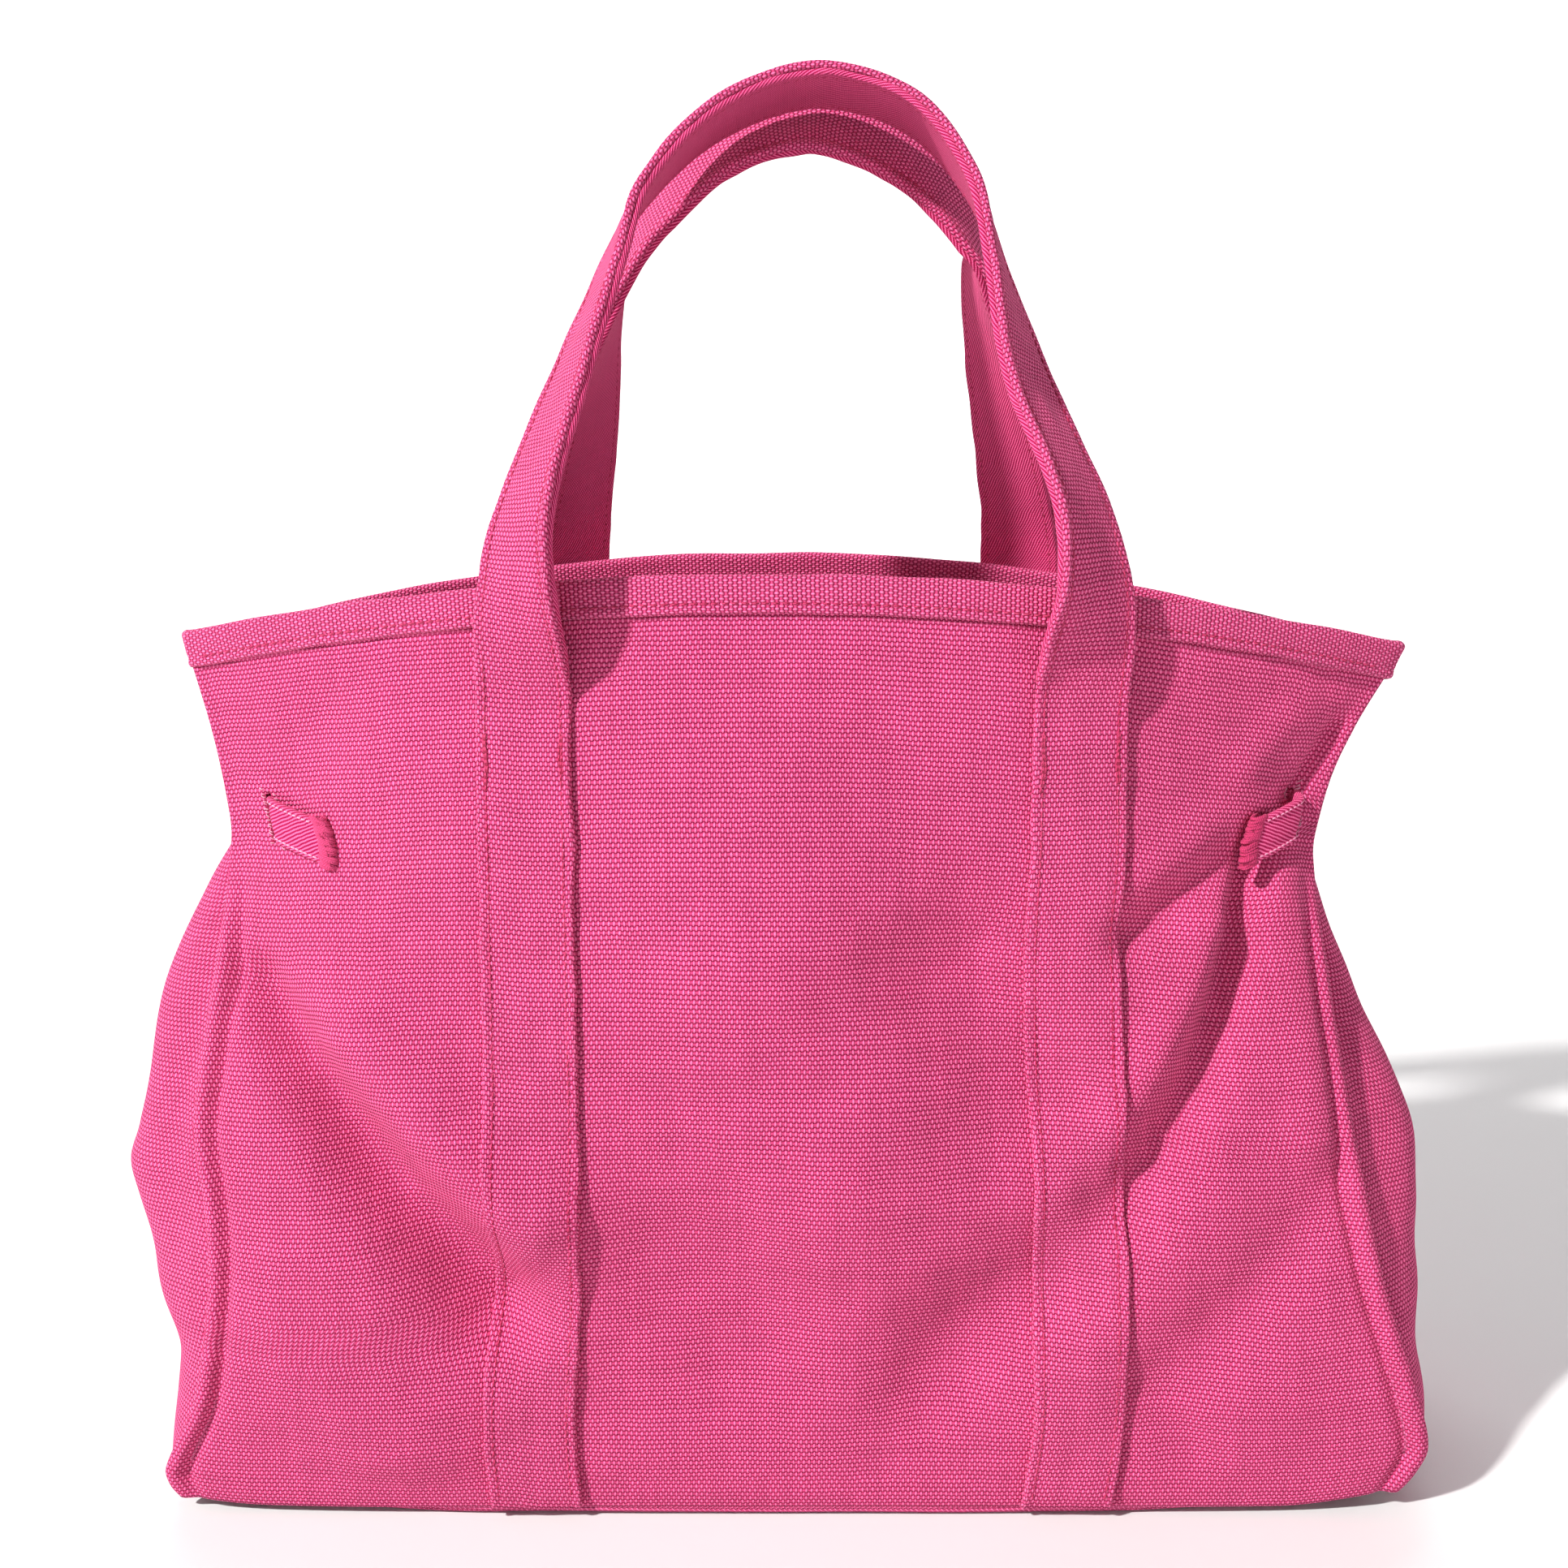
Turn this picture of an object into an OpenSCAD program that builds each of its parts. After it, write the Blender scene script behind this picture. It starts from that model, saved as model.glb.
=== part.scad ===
// Canvas beach tote: a soft open bag with two carrying handles, a bound rim and two cinch straps that
// draw the sides in. Millimetres, +Z up, the front faces -Y, the origin is under the middle of the base.

/* [Body] */
// Width of the base, side seam to side seam
base_w = 476; // [450:2:490]
// Depth of the base, front to back
base_d = 180; // [160:2:196]
// Height of the rim at the middle of the mouth
body_h = 356; // [340:2:370]
// How far the rim's corners hang below its middle
corner_drop = 27; // [10:1:35]
// Width of the mouth, corner to corner
rim_w = 466; // [450:2:480]
// Depth of the open mouth at its middle
rim_d = 142; // [130:2:156]
// Depth of the mouth at its corners
corner_d = 56; // [50:2:64]
// Width across the side seams where the cinch straps draw them in
pinch_w = 412; // [404:2:420]
// Depth of the sides where the cinch straps draw them in
pinch_d = 78; // [70:2:90]
// How far the sides bulge past their seams, low down
side_bulge = 38; // [20:1:44]
// How far the sides fold inward at the rim
side_fold = 36; // [20:1:44]
// Thickness of the canvas
canvas_t = 1.5; // [1.2:0.1:2]

/* [Rim and base] */
// Height of the rim binding
binding_h = 13; // [10:1:18]
// Thickness of one leaf of the rim binding
binding_t = 1.3; // [1.2:0.1:2]
// Thickness of the base panel with its turned-in edges
base_t = 3; // [2:0.5:4]
// Depth of the bound seam allowances inside
allowance = 8; // [6:1:9]

/* [Handles] */
// Width of the handle strap
strap_w = 35; // [30:1:38]
// Thickness of one folded ply of strap
strap_t = 2.4; // [2:0.1:2.6]
// Distance between the middles of the two legs of one handle
strap_pitch = 200; // [190:2:210]
// Height at which the stitching of the legs ends and the handle comes free
sewn_h = 320; // [312:1:322]

/* [Cinch straps] */
// Width of the cinch strap
cinch_w = 18; // [14:1:20]
// Thickness of the cinch strap
cinch_t = 2; // [1.6:0.1:2.4]
// Length of the tab that shows outside the slit
tab_l = 27; // [22:1:32]
// Slant of the tab and its slit
tab_slant = 18; // [0:1:25]

/* [Hidden] */

pink = [0.91, 0.40, 0.60];
pink_light = [0.95, 0.48, 0.67];
pink_thread = [0.80, 0.22, 0.42];

foot_z = base_t + 0.1;            // where the walls start, on the base panel
lap = 0.1;                        // air between layers that lie on each other
thread_r = 0.4;                   // radius of a row of stitches
stitch_inset = 3.8;               // from a strap's edge to its row of stitches
corner_z = body_h - corner_drop;
pinch_v = (253 - foot_z) / (corner_z - foot_z);   // level of the pinch, as a share of a side seam
seam_gap = 1.4;                   // from the seam line to the side panel's edge
tack_l = 20;                      // length of a bar tack
slit_u = 0.93;                    // place of the slits across the panel, 1 at the seam
slit_v = 0.79;                    // place of the slits up the panel
stop_l = 7;                       // length of a tab's doubled-back end
binding_start = 0.975;            // share of the panel's half width that its rim binding covers

// ---- curves -------------------------------------------------------------------------------------
// A smooth curve through [position, value] pairs; a value is a number or a vector.
function knot(p, t, i = 0) = (i >= len(p) - 2 || t < p[i + 1][0]) ? i : knot(p, t, i + 1);
function slope(p, i) =
    let(a = max(i - 1, 0), b = min(i + 1, len(p) - 1)) (p[b][1] - p[a][1]) / (p[b][0] - p[a][0]);
function curve(p, t) =
    let(i = knot(p, t), h = p[i + 1][0] - p[i][0], s = (t - p[i][0]) / h)
    (2 * s ^ 3 - 3 * s ^ 2 + 1) * p[i][1] + (s ^ 3 - 2 * s ^ 2 + s) * h * slope(p, i)
    + (3 * s ^ 2 - 2 * s ^ 3) * p[i + 1][1] + (s ^ 3 - s ^ 2) * h * slope(p, i + 1);
function unit(a) = a / norm(a);

// Half width of a panel, depth of its seams, depth of its middle, how square it is, and the side's bulge.
waist = base_w / 2 - 21;
seam_x = [[0, base_w / 2], [0.05, base_w / 2], [0.25, waist + 2], [0.44, waist], [pinch_v, pinch_w / 2], [1, rim_w / 2]];
seam_y = [[0, base_d / 2 - 5], [0.15, base_d / 2 - 3], [0.4, base_d / 2 - 15], [pinch_v, pinch_d / 2], [1, corner_d / 2]];
middle_y = [[0, base_d / 2 - 1], [0.15, base_d / 2 + 2], [0.4, base_d / 2 + 3], [pinch_v, rim_d / 2 + 11], [1, rim_d / 2]];
squareness = [[0, 12], [0.4, 5], [pinch_v, 3.2], [1, 2.4]];
bulge = [[0, 1], [0.18, side_bulge - 16], [0.36, side_bulge], [0.6, side_bulge - 14], [pinch_v, -3], [1, -side_fold]];
side_squareness = [[0, 4], [0.45, 4], [pinch_v, 2], [1, 1.7]];

// The middle surface of the front panel: u from -1 at the left seam to 1 at the right, v from 0 to 1 at the rim.
function rim_z(u) = body_h - corner_drop * u ^ 2;
function front(u, v) =
    let(m = curve(middle_y, v), s = curve(seam_y, v))
    [u * curve(seam_x, v), -(m + (s - m) * abs(u) ^ curve(squareness, v)), foot_z + v * (rim_z(u) - foot_z)];
// The middle surface of the right side: g from -1 at the front seam to 1 at the back seam.
function side(g, v) =
    [curve(seam_x, v) + curve(bulge, v) * (1 - abs(g) ^ curve(side_squareness, v)),
     g * (curve(seam_y, v) - seam_gap),
     foot_z + v * (corner_z - foot_z)];
// The share u at which the front panel is x wide of the middle, at level v.
function at_x(x, v) = x / curve(seam_x, v);
// The level v at which the front panel is z high, at share u.
function at_z(z, u) = (z - foot_z) / (rim_z(u) - foot_z);

// Outward normal, and unit vectors across and up a surface.
small = 0.002;
function across(f, u, v) = unit(f(u + small, v) - f(u - small, v));
function up(f, u, v) = unit(f(u, v + small) - f(u, v - small));
function normal(f, u, v) = unit(cross(across(f, u, v), up(f, u, v)));

// ---- solids made of points ------------------------------------------------------------------------
// A closed solid over a stretch of surface f, from offset low to offset high along its normal.
module sheet(f, u, v, n, low, high) {
    nu = n[0];
    nv = n[1];
    row = nu + 1;
    layer = row * (nv + 1);
    points = [for (t = [low, high]) for (j = [0:nv]) for (i = [0:nu])
        let(a = u[0] + (u[1] - u[0]) * i / nu, b = v[0] + (v[1] - v[0]) * j / nv)
        f(a, b) + t * normal(f, a, b)];
    edge = concat(
        [for (i = [0:nu]) i],
        [for (j = [1:nv]) j * row + nu],
        [for (i = [nu - 1:-1:0]) nv * row + i],
        [for (j = [nv - 1:-1:1]) j * row]);
    faces = concat(
        [for (j = [0:nv - 1]) for (i = [0:nu - 1]) let(k = layer + j * row + i)
            each [[k, k + row, k + row + 1], [k, k + row + 1, k + 1]]],
        [for (j = [0:nv - 1]) for (i = [0:nu - 1]) let(k = j * row + i)
            each [[k, k + row + 1, k + row], [k, k + 1, k + row + 1]]],
        [for (i = [0:len(edge) - 1]) let(a = edge[i], b = edge[(i + 1) % len(edge)])
            each [[a, a + layer, b + layer], [a, b + layer, b]]]);
    polyhedron(points, faces);
}

// A closed solid through rings of equal length, each seen anticlockwise from ahead. Each four-sided face is split in
// two; flip splits it the other way, so that two twisted solids lie face to face.
module loft(rings, flip = false) {
    n = len(rings[0]);
    last = len(rings) - 1;
    faces = concat(
        [[for (i = [0:n - 1]) i]],
        [for (k = [0:last - 1]) for (i = [0:n - 1])
            let(a = k * n + i, b = k * n + (i + 1) % n)
            each (flip ? [[a, a + n, b], [b, a + n, b + n]] : [[a, a + n, b + n], [a, b + n, b]])],
        [[for (i = [n - 1:-1:0]) last * n + i]]);
    polyhedron([for (r = rings) each r], faces);
}

// A thin row of stitches along a list of points.
module stitch_row(line) {
    last = len(line) - 1;
    aside = abs(unit(line[last] - line[0])[0]) > 0.7 ? [0, 1, 0] : [1, 0, 0];
    loft([for (k = [0:last])
        let(t = unit(line[min(k + 1, last)] - line[max(k - 1, 0)]),
            a = unit(cross(t, aside)), b = cross(t, a))
        [for (q = [0:90:270]) line[k] + thread_r * (cos(q) * a + sin(q) * b)]]);
}

module right_and_left() {
    children();
    mirror([1, 0, 0]) children();
}

// ---- body -------------------------------------------------------------------------------------------
// The place on the front panel's outer face that a slit, and the tab's root, lie at, and the tab's own axes.
slit_place = front(slit_u, slit_v);
slit_n = normal(function(u, v) front(u, v), slit_u, slit_v);
slit_a = across(function(u, v) front(u, v), slit_u, slit_v);
slit_b = cross(slit_n, slit_a);
tab_along = -(cos(tab_slant) * slit_a + sin(tab_slant) * slit_b);
tab_up = cos(tab_slant) * slit_b - sin(tab_slant) * slit_a;
// Puts its children with x along the right front tab, y into the bag and z up the slit.
module at_slit() {
    x = tab_along;
    y = -slit_n;
    z = -tab_up;
    p = slit_place;
    multmatrix([[x[0], y[0], z[0], p[0]], [x[1], y[1], z[1], p[1]], [x[2], y[2], z[2], p[2]], [0, 0, 0, 1]])
        children();
}

module slit() {
    at_slit() cube([cinch_t + 1.2, 12, cinch_w + 1.5], center = true);
}

module panel() {
    color(pink) difference() {
        sheet(function(u, v) front(u, v), [-1, 1], [0, 1], [28, 17], -canvas_t / 2, canvas_t / 2);
        right_and_left() slit();
    }
}
module front_panel() { panel(); }
module back_panel() { mirror([0, 1, 0]) panel(); }

module right_gusset() {
    color(pink) sheet(function(g, v) side(g, v), [-1, 1], [0, 1], [12, 20], -canvas_t / 2, canvas_t / 2);
}
module left_gusset() { mirror([1, 0, 0]) right_gusset(); }

base_corner = 16;
module base_panel() {
    w = base_w - 4;
    d = base_d - 6;
    color(pink) linear_extrude(base_t) union() {
        square([w - 2 * base_corner, d], center = true);
        square([w, d - 2 * base_corner], center = true);
        for (x = [-1, 1], y = [-1, 1])
            translate([x * (w / 2 - base_corner), y * (d / 2 - base_corner)]) circle(base_corner, $fn = 48);
    }
}

// A fold of canvas over the top edge of a panel: two leaves joined over the edge.
module rim_fold(f, from, to, steps, gap) {
    near = canvas_t / 2 + gap;
    far = near + binding_t;
    color(pink_light) loft([for (i = [0:steps])
        let(u = from + (to - from) * i / steps, p = f(u, 1), n = normal(f, u, 1), b = up(f, u, 1))
        [for (q = [[-far, binding_t], [far, binding_t], [far, -binding_h], [near, -binding_h],
                   [near, gap], [-near, gap], [-near, -binding_h], [-far, -binding_h]])
            p + q[0] * n + q[1] * b]]);
}
module front_rim_binding() {
    rim_fold(function(u, v) front(u, v), -binding_start, binding_start, 40, 4 * lap);
}
module back_rim_binding() { mirror([0, 1, 0]) front_rim_binding(); }
module right_rim_binding() { rim_fold(function(g, v) side(g, v), -0.82, 0.82, 14, 6 * lap); }
module left_rim_binding() { mirror([1, 0, 0]) right_rim_binding(); }

// ---- seam allowances inside, each bound with tape -----------------------------------------------------
binding_tape_t = 2.4;
module side_seam_binding() {
    steps = 24;
    color(pink) loft([for (i = [0:steps])
        let(v = 0.05 + 0.87 * i / steps, p = front(0.985, v),
            inward = unit([-0.8, 0.6 + 0.5 * v, 0]), flank = cross([0, 0, 1], inward), start = 3.5)
        [for (q = [[0, -0.5], [1, -0.5], [1, 0.5], [0, 0.5]])
            p + (start + q[0] * allowance) * inward + q[1] * binding_tape_t * flank]]);
}
module front_right_seam_binding() { side_seam_binding(); }
module front_left_seam_binding() { mirror([1, 0, 0]) side_seam_binding(); }
module back_right_seam_binding() { mirror([0, 1, 0]) side_seam_binding(); }
module back_left_seam_binding() { mirror([1, 0, 0]) mirror([0, 1, 0]) side_seam_binding(); }

module front_base_seam_binding() {
    color(pink) translate([0, -base_d / 2 + 14, base_t + 2.2 + allowance / 2]) rotate([-20, 0, 0])
        cube([base_w - 60, binding_tape_t, allowance], center = true);
}
module back_base_seam_binding() { mirror([0, 1, 0]) front_base_seam_binding(); }
module right_base_seam_binding() {
    color(pink) translate([base_w / 2 - 14, 0, base_t + 2.2 + allowance / 2]) rotate([0, -20, 0])
        cube([binding_tape_t, base_d - 60, allowance], center = true);
}
module left_base_seam_binding() { mirror([1, 0, 0]) right_base_seam_binding(); }

// ---- legs of the handles, sewn to the panels ------------------------------------------------------------
// The front panel again, with u measured across the strap's leg in millimetres and v in millimetres up.
function leg(x, z) = let(u = at_x(x, at_z(z, at_x(x, 0.5)))) front(u, at_z(z, u));
leg_low = canvas_t / 2 + lap;
module front_right_strap() {
    color(pink_light) sheet(function(x, z) leg(x, z),
        [strap_pitch / 2 - strap_w / 2, strap_pitch / 2 + strap_w / 2], [foot_z + 1, sewn_h - 0.3],
        [4, 22], leg_low, leg_low + strap_t);
}
module front_left_strap() { mirror([1, 0, 0]) front_right_strap(); }
module back_right_strap() { mirror([0, 1, 0]) front_right_strap(); }
module back_left_strap() { mirror([1, 0, 0]) back_right_strap(); }

module strap_stitching() {
    color(pink_thread) right_and_left()
        for (e = [-1, 1])
            stitch_row([for (z = [foot_z + 4:12:sewn_h - tack_l - 6])
                let(x = strap_pitch / 2 + e * (strap_w / 2 - stitch_inset))
                leg(x, z) + (leg_low + strap_t + thread_r + 0.05) * normal(function(a, b) leg(a, b), x, z)]);
}
module front_strap_stitching() { strap_stitching(); }
module back_strap_stitching() { mirror([0, 1, 0]) strap_stitching(); }

module bar_tacks() {
    color(pink_thread) right_and_left()
        for (e = [-1, 1])
            sheet(function(x, z) leg(x, z),
                [for (w = [-1.2, 1.2]) strap_pitch / 2 + e * (strap_w / 2 - stitch_inset) + w],
                [sewn_h - tack_l - 1, sewn_h - 1], [1, 4],
                leg_low + strap_t + 0.05, leg_low + strap_t + 0.75);
}
module front_bar_tacks() { bar_tacks(); }
module back_bar_tacks() { mirror([0, 1, 0]) bar_tacks(); }

module rim_row() {
    out = canvas_t / 2 + 4 * lap + binding_t + thread_r + 0.05;
    legs = [for (e = [-1, 1]) (strap_pitch / 2 + e * (strap_w / 2 + 3)) / (rim_w / 2)];
    for (span = [[-binding_start, -legs[1]], [-legs[0], legs[0]], [legs[1], binding_start]])
        stitch_row([for (i = [0:12])
            let(u = span[0] * 0.995 + (span[1] - span[0]) * 0.995 * i / 12)
            front(u, 1) + out * normal(function(a, b) front(a, b), u, 1)
                - (binding_h - 4) * up(function(a, b) front(a, b), u, 1)]);
}
module rim_stitching() {
    color(pink_thread) {
        rim_row();
        mirror([0, 1, 0]) rim_row();
    }
}

// ---- handles -----------------------------------------------------------------------------------------------
// Right half of each handle's middle line from the end of its stitching to its top: place and twist.
// The twist is the angle that the strap has turned from lying across the panel to standing edge-on.
half = strap_pitch / 2;
front_half = [
    [half, -75.3, sewn_h + 0.4, 9], [half, -77.2, sewn_h + 15, 18], [half - 1, -80.5, body_h - 2, 36],
    [half - 5, -77, body_h + 21, 54], [half - 11, -66, body_h + 48, 66], [half - 19, -53, body_h + 77, 74],
    [half - 31, -39, body_h + 110, 80], [half - 42, -28, body_h + 137, 84], [half - 57, -19.5, body_h + 159, 87],
    [half - 76, -14.5, body_h + 173, 89], [0, -12.5, body_h + 178, 90]
];
back_half = [
    [half, -75.3, sewn_h + 0.4, 9], [half, -77.2, sewn_h + 15, 18], [half - 2, -80.5, body_h - 2, 36],
    [half - 10, -74, body_h + 22, 54], [half - 20, -62, body_h + 49, 70], [half - 26, -47, body_h + 77, 77],
    [half - 31, -34, body_h + 105, 82], [half - 40, -26.5, body_h + 130, 85], [half - 55, -20.5, body_h + 148, 88],
    [half - 74, -17, body_h + 158, 89], [0, -16, body_h + 162, 90]
];
// The whole middle line, right leg first, as pairs for curve().
function whole(h) =
    [for (i = [0:2 * len(h) - 2]) let(left = i >= len(h), p = h[left ? 2 * len(h) - 2 - i : i])
        [i, left ? [-p[0], p[1], p[2], 180 - p[3]] : p]];
front_line = whole(front_half);
back_line = whole(back_half);
lean = 0.22;                      // how much higher a handle's outer edge stands than its inner edge

// The frame at t along a handle: [place, width direction, outward direction].
function frame(line, t) =
    let(p = curve(line, t), a = curve(line, max(t - 0.01, 0)), b = curve(line, min(t + 0.01, len(line) - 1)),
        tangent = unit([b[0] - a[0], b[1] - a[1], b[2] - a[2]]),
        raw = [-cos(p[3]), -sin(p[3]), lean * sin(p[3])],
        width = unit(raw - (raw * tangent) * tangent))
    [[p[0], p[1], p[2]], width, cross(tangent, width)];

module ply(line, low, high, flip = false) {
    steps = 66;
    loft([for (i = [0:steps]) let(k = frame(line, i * (len(line) - 1) / steps))
        [for (q = [[-1, low], [1, low], [1, high], [-1, high]]) k[0] + q[0] * strap_w / 2 * k[1] + q[1] * k[2]]], flip);
}
module handle_stitching(line) {
    for (e = [-1, 1], face = [-1, 1])
        stitch_row([for (i = [2:1:42]) let(k = frame(line, i * (len(line) - 1) / 44))
            k[0] + e * (strap_w / 2 - stitch_inset) * k[1] + face * (strap_t + lap + thread_r) * k[2]]);
}
module front_handle_outer() { color(pink_light) ply(front_line, lap / 2, strap_t); }
module front_handle_lining() { color(pink) ply(front_line, -strap_t, -lap / 2, true); }
module front_handle_stitching() { color(pink_thread) handle_stitching(front_line); }
module back_handle_outer() { mirror([0, 1, 0]) color(pink_light) ply(back_line, lap / 2, strap_t); }
module back_handle_lining() { mirror([0, 1, 0]) color(pink) ply(back_line, -strap_t, -lap / 2, true); }
module back_handle_stitching() { mirror([0, 1, 0]) color(pink_thread) handle_stitching(back_line); }

// ---- cinch straps ----------------------------------------------------------------------------------------------
root_out = canvas_t / 2 + 0.8;    // from the panel's middle surface to the back of a tab
// The stretch inside the bag, from the front slit to the back slit.
module right_cinch_strap() {
    depth = -slit_place[1] - canvas_t;
    color(pink_light) translate([slit_place[0], 0, slit_place[2]])
        cube([cinch_t, 2 * depth, cinch_w - 1], center = true);
}
module left_cinch_strap() { mirror([1, 0, 0]) right_cinch_strap(); }

// The end that shows outside, doubled back into a stop.
module tab() {
    color(pink_light) at_slit() union() {
        translate([0, -root_out - cinch_t, -cinch_w / 2]) cube([tab_l, cinch_t, cinch_w]);
        translate([tab_l - stop_l, -root_out - 1.8 * cinch_t, -cinch_w / 2]) cube([stop_l, cinch_t, cinch_w]);
    }
}
// The thread cast over the cut end of the tab.
module tab_overcast() {
    color(pink_thread) at_slit()
        for (k = [0:7])
            translate([tab_l + 0.7, -root_out - 0.9 * cinch_t, -cinch_w / 2 + (k + 0.5) * cinch_w / 8])
                rotate([90, 0, 0]) cylinder(h = 2 * cinch_t, r = 0.6, center = true, $fn = 16);
}
module front_right_tab() { tab(); }
module front_left_tab() { mirror([1, 0, 0]) tab(); }
module back_right_tab() { mirror([0, 1, 0]) tab(); }
module back_left_tab() { mirror([1, 0, 0]) mirror([0, 1, 0]) tab(); }
module front_right_tab_overcast() { tab_overcast(); }
module front_left_tab_overcast() { mirror([1, 0, 0]) tab_overcast(); }
module back_right_tab_overcast() { mirror([0, 1, 0]) tab_overcast(); }
module back_left_tab_overcast() { mirror([1, 0, 0]) mirror([0, 1, 0]) tab_overcast(); }

// Close stitches along the two lips of each slit.
module slit_edging() {
    lip = (cinch_t + 1.2) / 2 + 0.9;
    at_slit() translate([-lip, -canvas_t / 2 - 0.7, 0]) cube([1, 0.6, cinch_w + 3], center = true);
}
module slit_edgings() {
    color(pink_thread) right_and_left() {
        slit_edging();
        mirror([0, 1, 0]) slit_edging();
    }
}

front_panel();
back_panel();
left_gusset();
right_gusset();
base_panel();
front_rim_binding();
back_rim_binding();
left_rim_binding();
right_rim_binding();
front_left_strap();
front_right_strap();
back_left_strap();
back_right_strap();
front_handle_outer();
front_handle_lining();
back_handle_outer();
back_handle_lining();
left_cinch_strap();
right_cinch_strap();
front_left_tab();
front_right_tab();
back_left_tab();
back_right_tab();
front_left_tab_overcast();
front_right_tab_overcast();
back_left_tab_overcast();
back_right_tab_overcast();
front_left_seam_binding();
front_right_seam_binding();
back_left_seam_binding();
back_right_seam_binding();
front_base_seam_binding();
back_base_seam_binding();
left_base_seam_binding();
right_base_seam_binding();
front_strap_stitching();
back_strap_stitching();
front_handle_stitching();
back_handle_stitching();
rim_stitching();
front_bar_tacks();
back_bar_tacks();
slit_edgings();
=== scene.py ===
import math

import bmesh
import bpy
import numpy as np
from mathutils import Matrix, Vector


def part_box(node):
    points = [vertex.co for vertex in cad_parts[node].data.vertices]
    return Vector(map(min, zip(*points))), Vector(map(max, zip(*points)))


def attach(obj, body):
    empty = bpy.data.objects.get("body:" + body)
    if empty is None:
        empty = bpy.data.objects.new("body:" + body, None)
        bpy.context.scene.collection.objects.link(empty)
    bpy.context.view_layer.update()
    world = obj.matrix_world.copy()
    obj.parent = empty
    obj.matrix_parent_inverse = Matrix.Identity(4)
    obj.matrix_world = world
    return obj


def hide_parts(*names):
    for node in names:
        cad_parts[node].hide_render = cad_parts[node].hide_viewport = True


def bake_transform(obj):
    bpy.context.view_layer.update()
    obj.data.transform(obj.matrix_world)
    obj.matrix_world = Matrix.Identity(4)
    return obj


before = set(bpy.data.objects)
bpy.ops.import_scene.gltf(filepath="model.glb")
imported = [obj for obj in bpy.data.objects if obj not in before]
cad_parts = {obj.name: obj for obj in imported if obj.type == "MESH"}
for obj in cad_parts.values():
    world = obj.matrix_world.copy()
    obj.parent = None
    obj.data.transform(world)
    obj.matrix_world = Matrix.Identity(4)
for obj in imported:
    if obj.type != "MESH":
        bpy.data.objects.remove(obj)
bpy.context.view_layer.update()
MM = 0.001

# ---- camera: about 0.7 m away, a little above the rim, looking slightly down -------------------------
SENSOR_MM, LENS_MM = 36, 40.47
CAMERA_AT = (-0.0045, -0.700, 0.3993)
CAMERA_TILT = 10.6
cam_data = bpy.data.cameras.new("camera")
cam_data.sensor_width = SENSOR_MM
cam_data.lens = LENS_MM
cam_data.clip_start = 0.01
camera = bpy.data.objects.new("camera", cam_data)
camera.location = CAMERA_AT
camera.rotation_euler = (math.radians(90 - CAMERA_TILT), 0, 0)
bpy.context.scene.collection.objects.link(camera)
bpy.context.scene.camera = camera


# ---- small maths -------------------------------------------------------------------------------------
def curve(keys, t):
    """A smooth curve through (position, value) pairs, read at every t; a value is a number or a tuple."""
    x = np.array([k[0] for k in keys], float)
    y = np.array([k[1] for k in keys], float)
    flat = y.ndim == 1
    y = y[:, None] if flat else y
    m = np.empty_like(y)
    m[1:-1] = (y[2:] - y[:-2]) / (x[2:] - x[:-2])[:, None]
    m[0] = (y[1] - y[0]) / (x[1] - x[0])
    m[-1] = (y[-1] - y[-2]) / (x[-1] - x[-2])
    t = np.asarray(t, float)
    i = np.clip(np.searchsorted(x, t, side="right") - 1, 0, len(x) - 2)
    h = x[i + 1] - x[i]
    s = ((t - x[i]) / h)[..., None]
    h = h[..., None]
    out = ((2 * s**3 - 3 * s**2 + 1) * y[i] + (s**3 - 2 * s**2 + s) * h * m[i]
           + (3 * s**2 - 2 * s**3) * y[i + 1] + (s**3 - s**2) * h * m[i + 1])
    return out[..., 0] if flat else out


def unit(a):
    return a / np.maximum(np.linalg.norm(a, axis=-1, keepdims=True), 1e-9)


def smooth(t):
    t = np.clip(t, 0, 1)
    return t * t * (3 - 2 * t)


def waves(x, z, size, seed, n=14):
    """Gentle unevenness from -1 to 1 or so, with features of about size."""
    r = np.random.default_rng(seed)
    out = 0
    for _ in range(n):
        a, p = r.uniform(0, 2 * math.pi, 2)
        k = 2 * math.pi / (size * r.uniform(0.7, 1.8))
        out = out + np.sin(k * (x * math.cos(a) + z * math.sin(a)) + p)
    return out / math.sqrt(n)


def folds(x, z, strokes):
    """Height of soft folds. A stroke is a line of (x, z) points, the half widths and the heights at its
    two ends;
    a valley has negative heights."""
    out = np.zeros(np.broadcast(x, z).shape)
    for line, widths, heights in strokes:
        line = np.array(line, float)
        steps = np.diff(line, axis=0)
        size = np.linalg.norm(steps, axis=1)
        along = np.concatenate([[0], np.cumsum(size)]) / size.sum()
        near, place = np.full(out.shape, 1e9), np.zeros(out.shape)
        for i, (dx, dz) in enumerate(steps):
            t = np.clip(((x - line[i, 0]) * dx + (z - line[i, 1]) * dz) / (dx * dx + dz * dz), 0, 1)
            d2 = (x - line[i, 0] - t * dx) ** 2 + (z - line[i, 1] - t * dz) ** 2
            place = np.where(d2 < near, along[i] + t * (along[i + 1] - along[i]), place)
            near = np.minimum(near, d2)
        w = widths[0] + (widths[1] - widths[0]) * place
        out += (heights[0] + (heights[1] - heights[0]) * place) * np.exp(-near / (w * w))
    return out


# ---- the bag's shape, in millimetres, as the CAD has it ----------------------------------------------
BASE_W, BASE_D, BODY_H, CORNER_DROP = 476, 180, 356, 27
RIM_W, RIM_D, CORNER_D = 466, 142, 56
PINCH_D, SIDE_FOLD = 78, 36
CANVAS = 1.5
FOOT_Z = 3.6
CORNER_Z = BODY_H - CORNER_DROP
PINCH_V = (253 - FOOT_Z) / (CORNER_Z - FOOT_Z)
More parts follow.
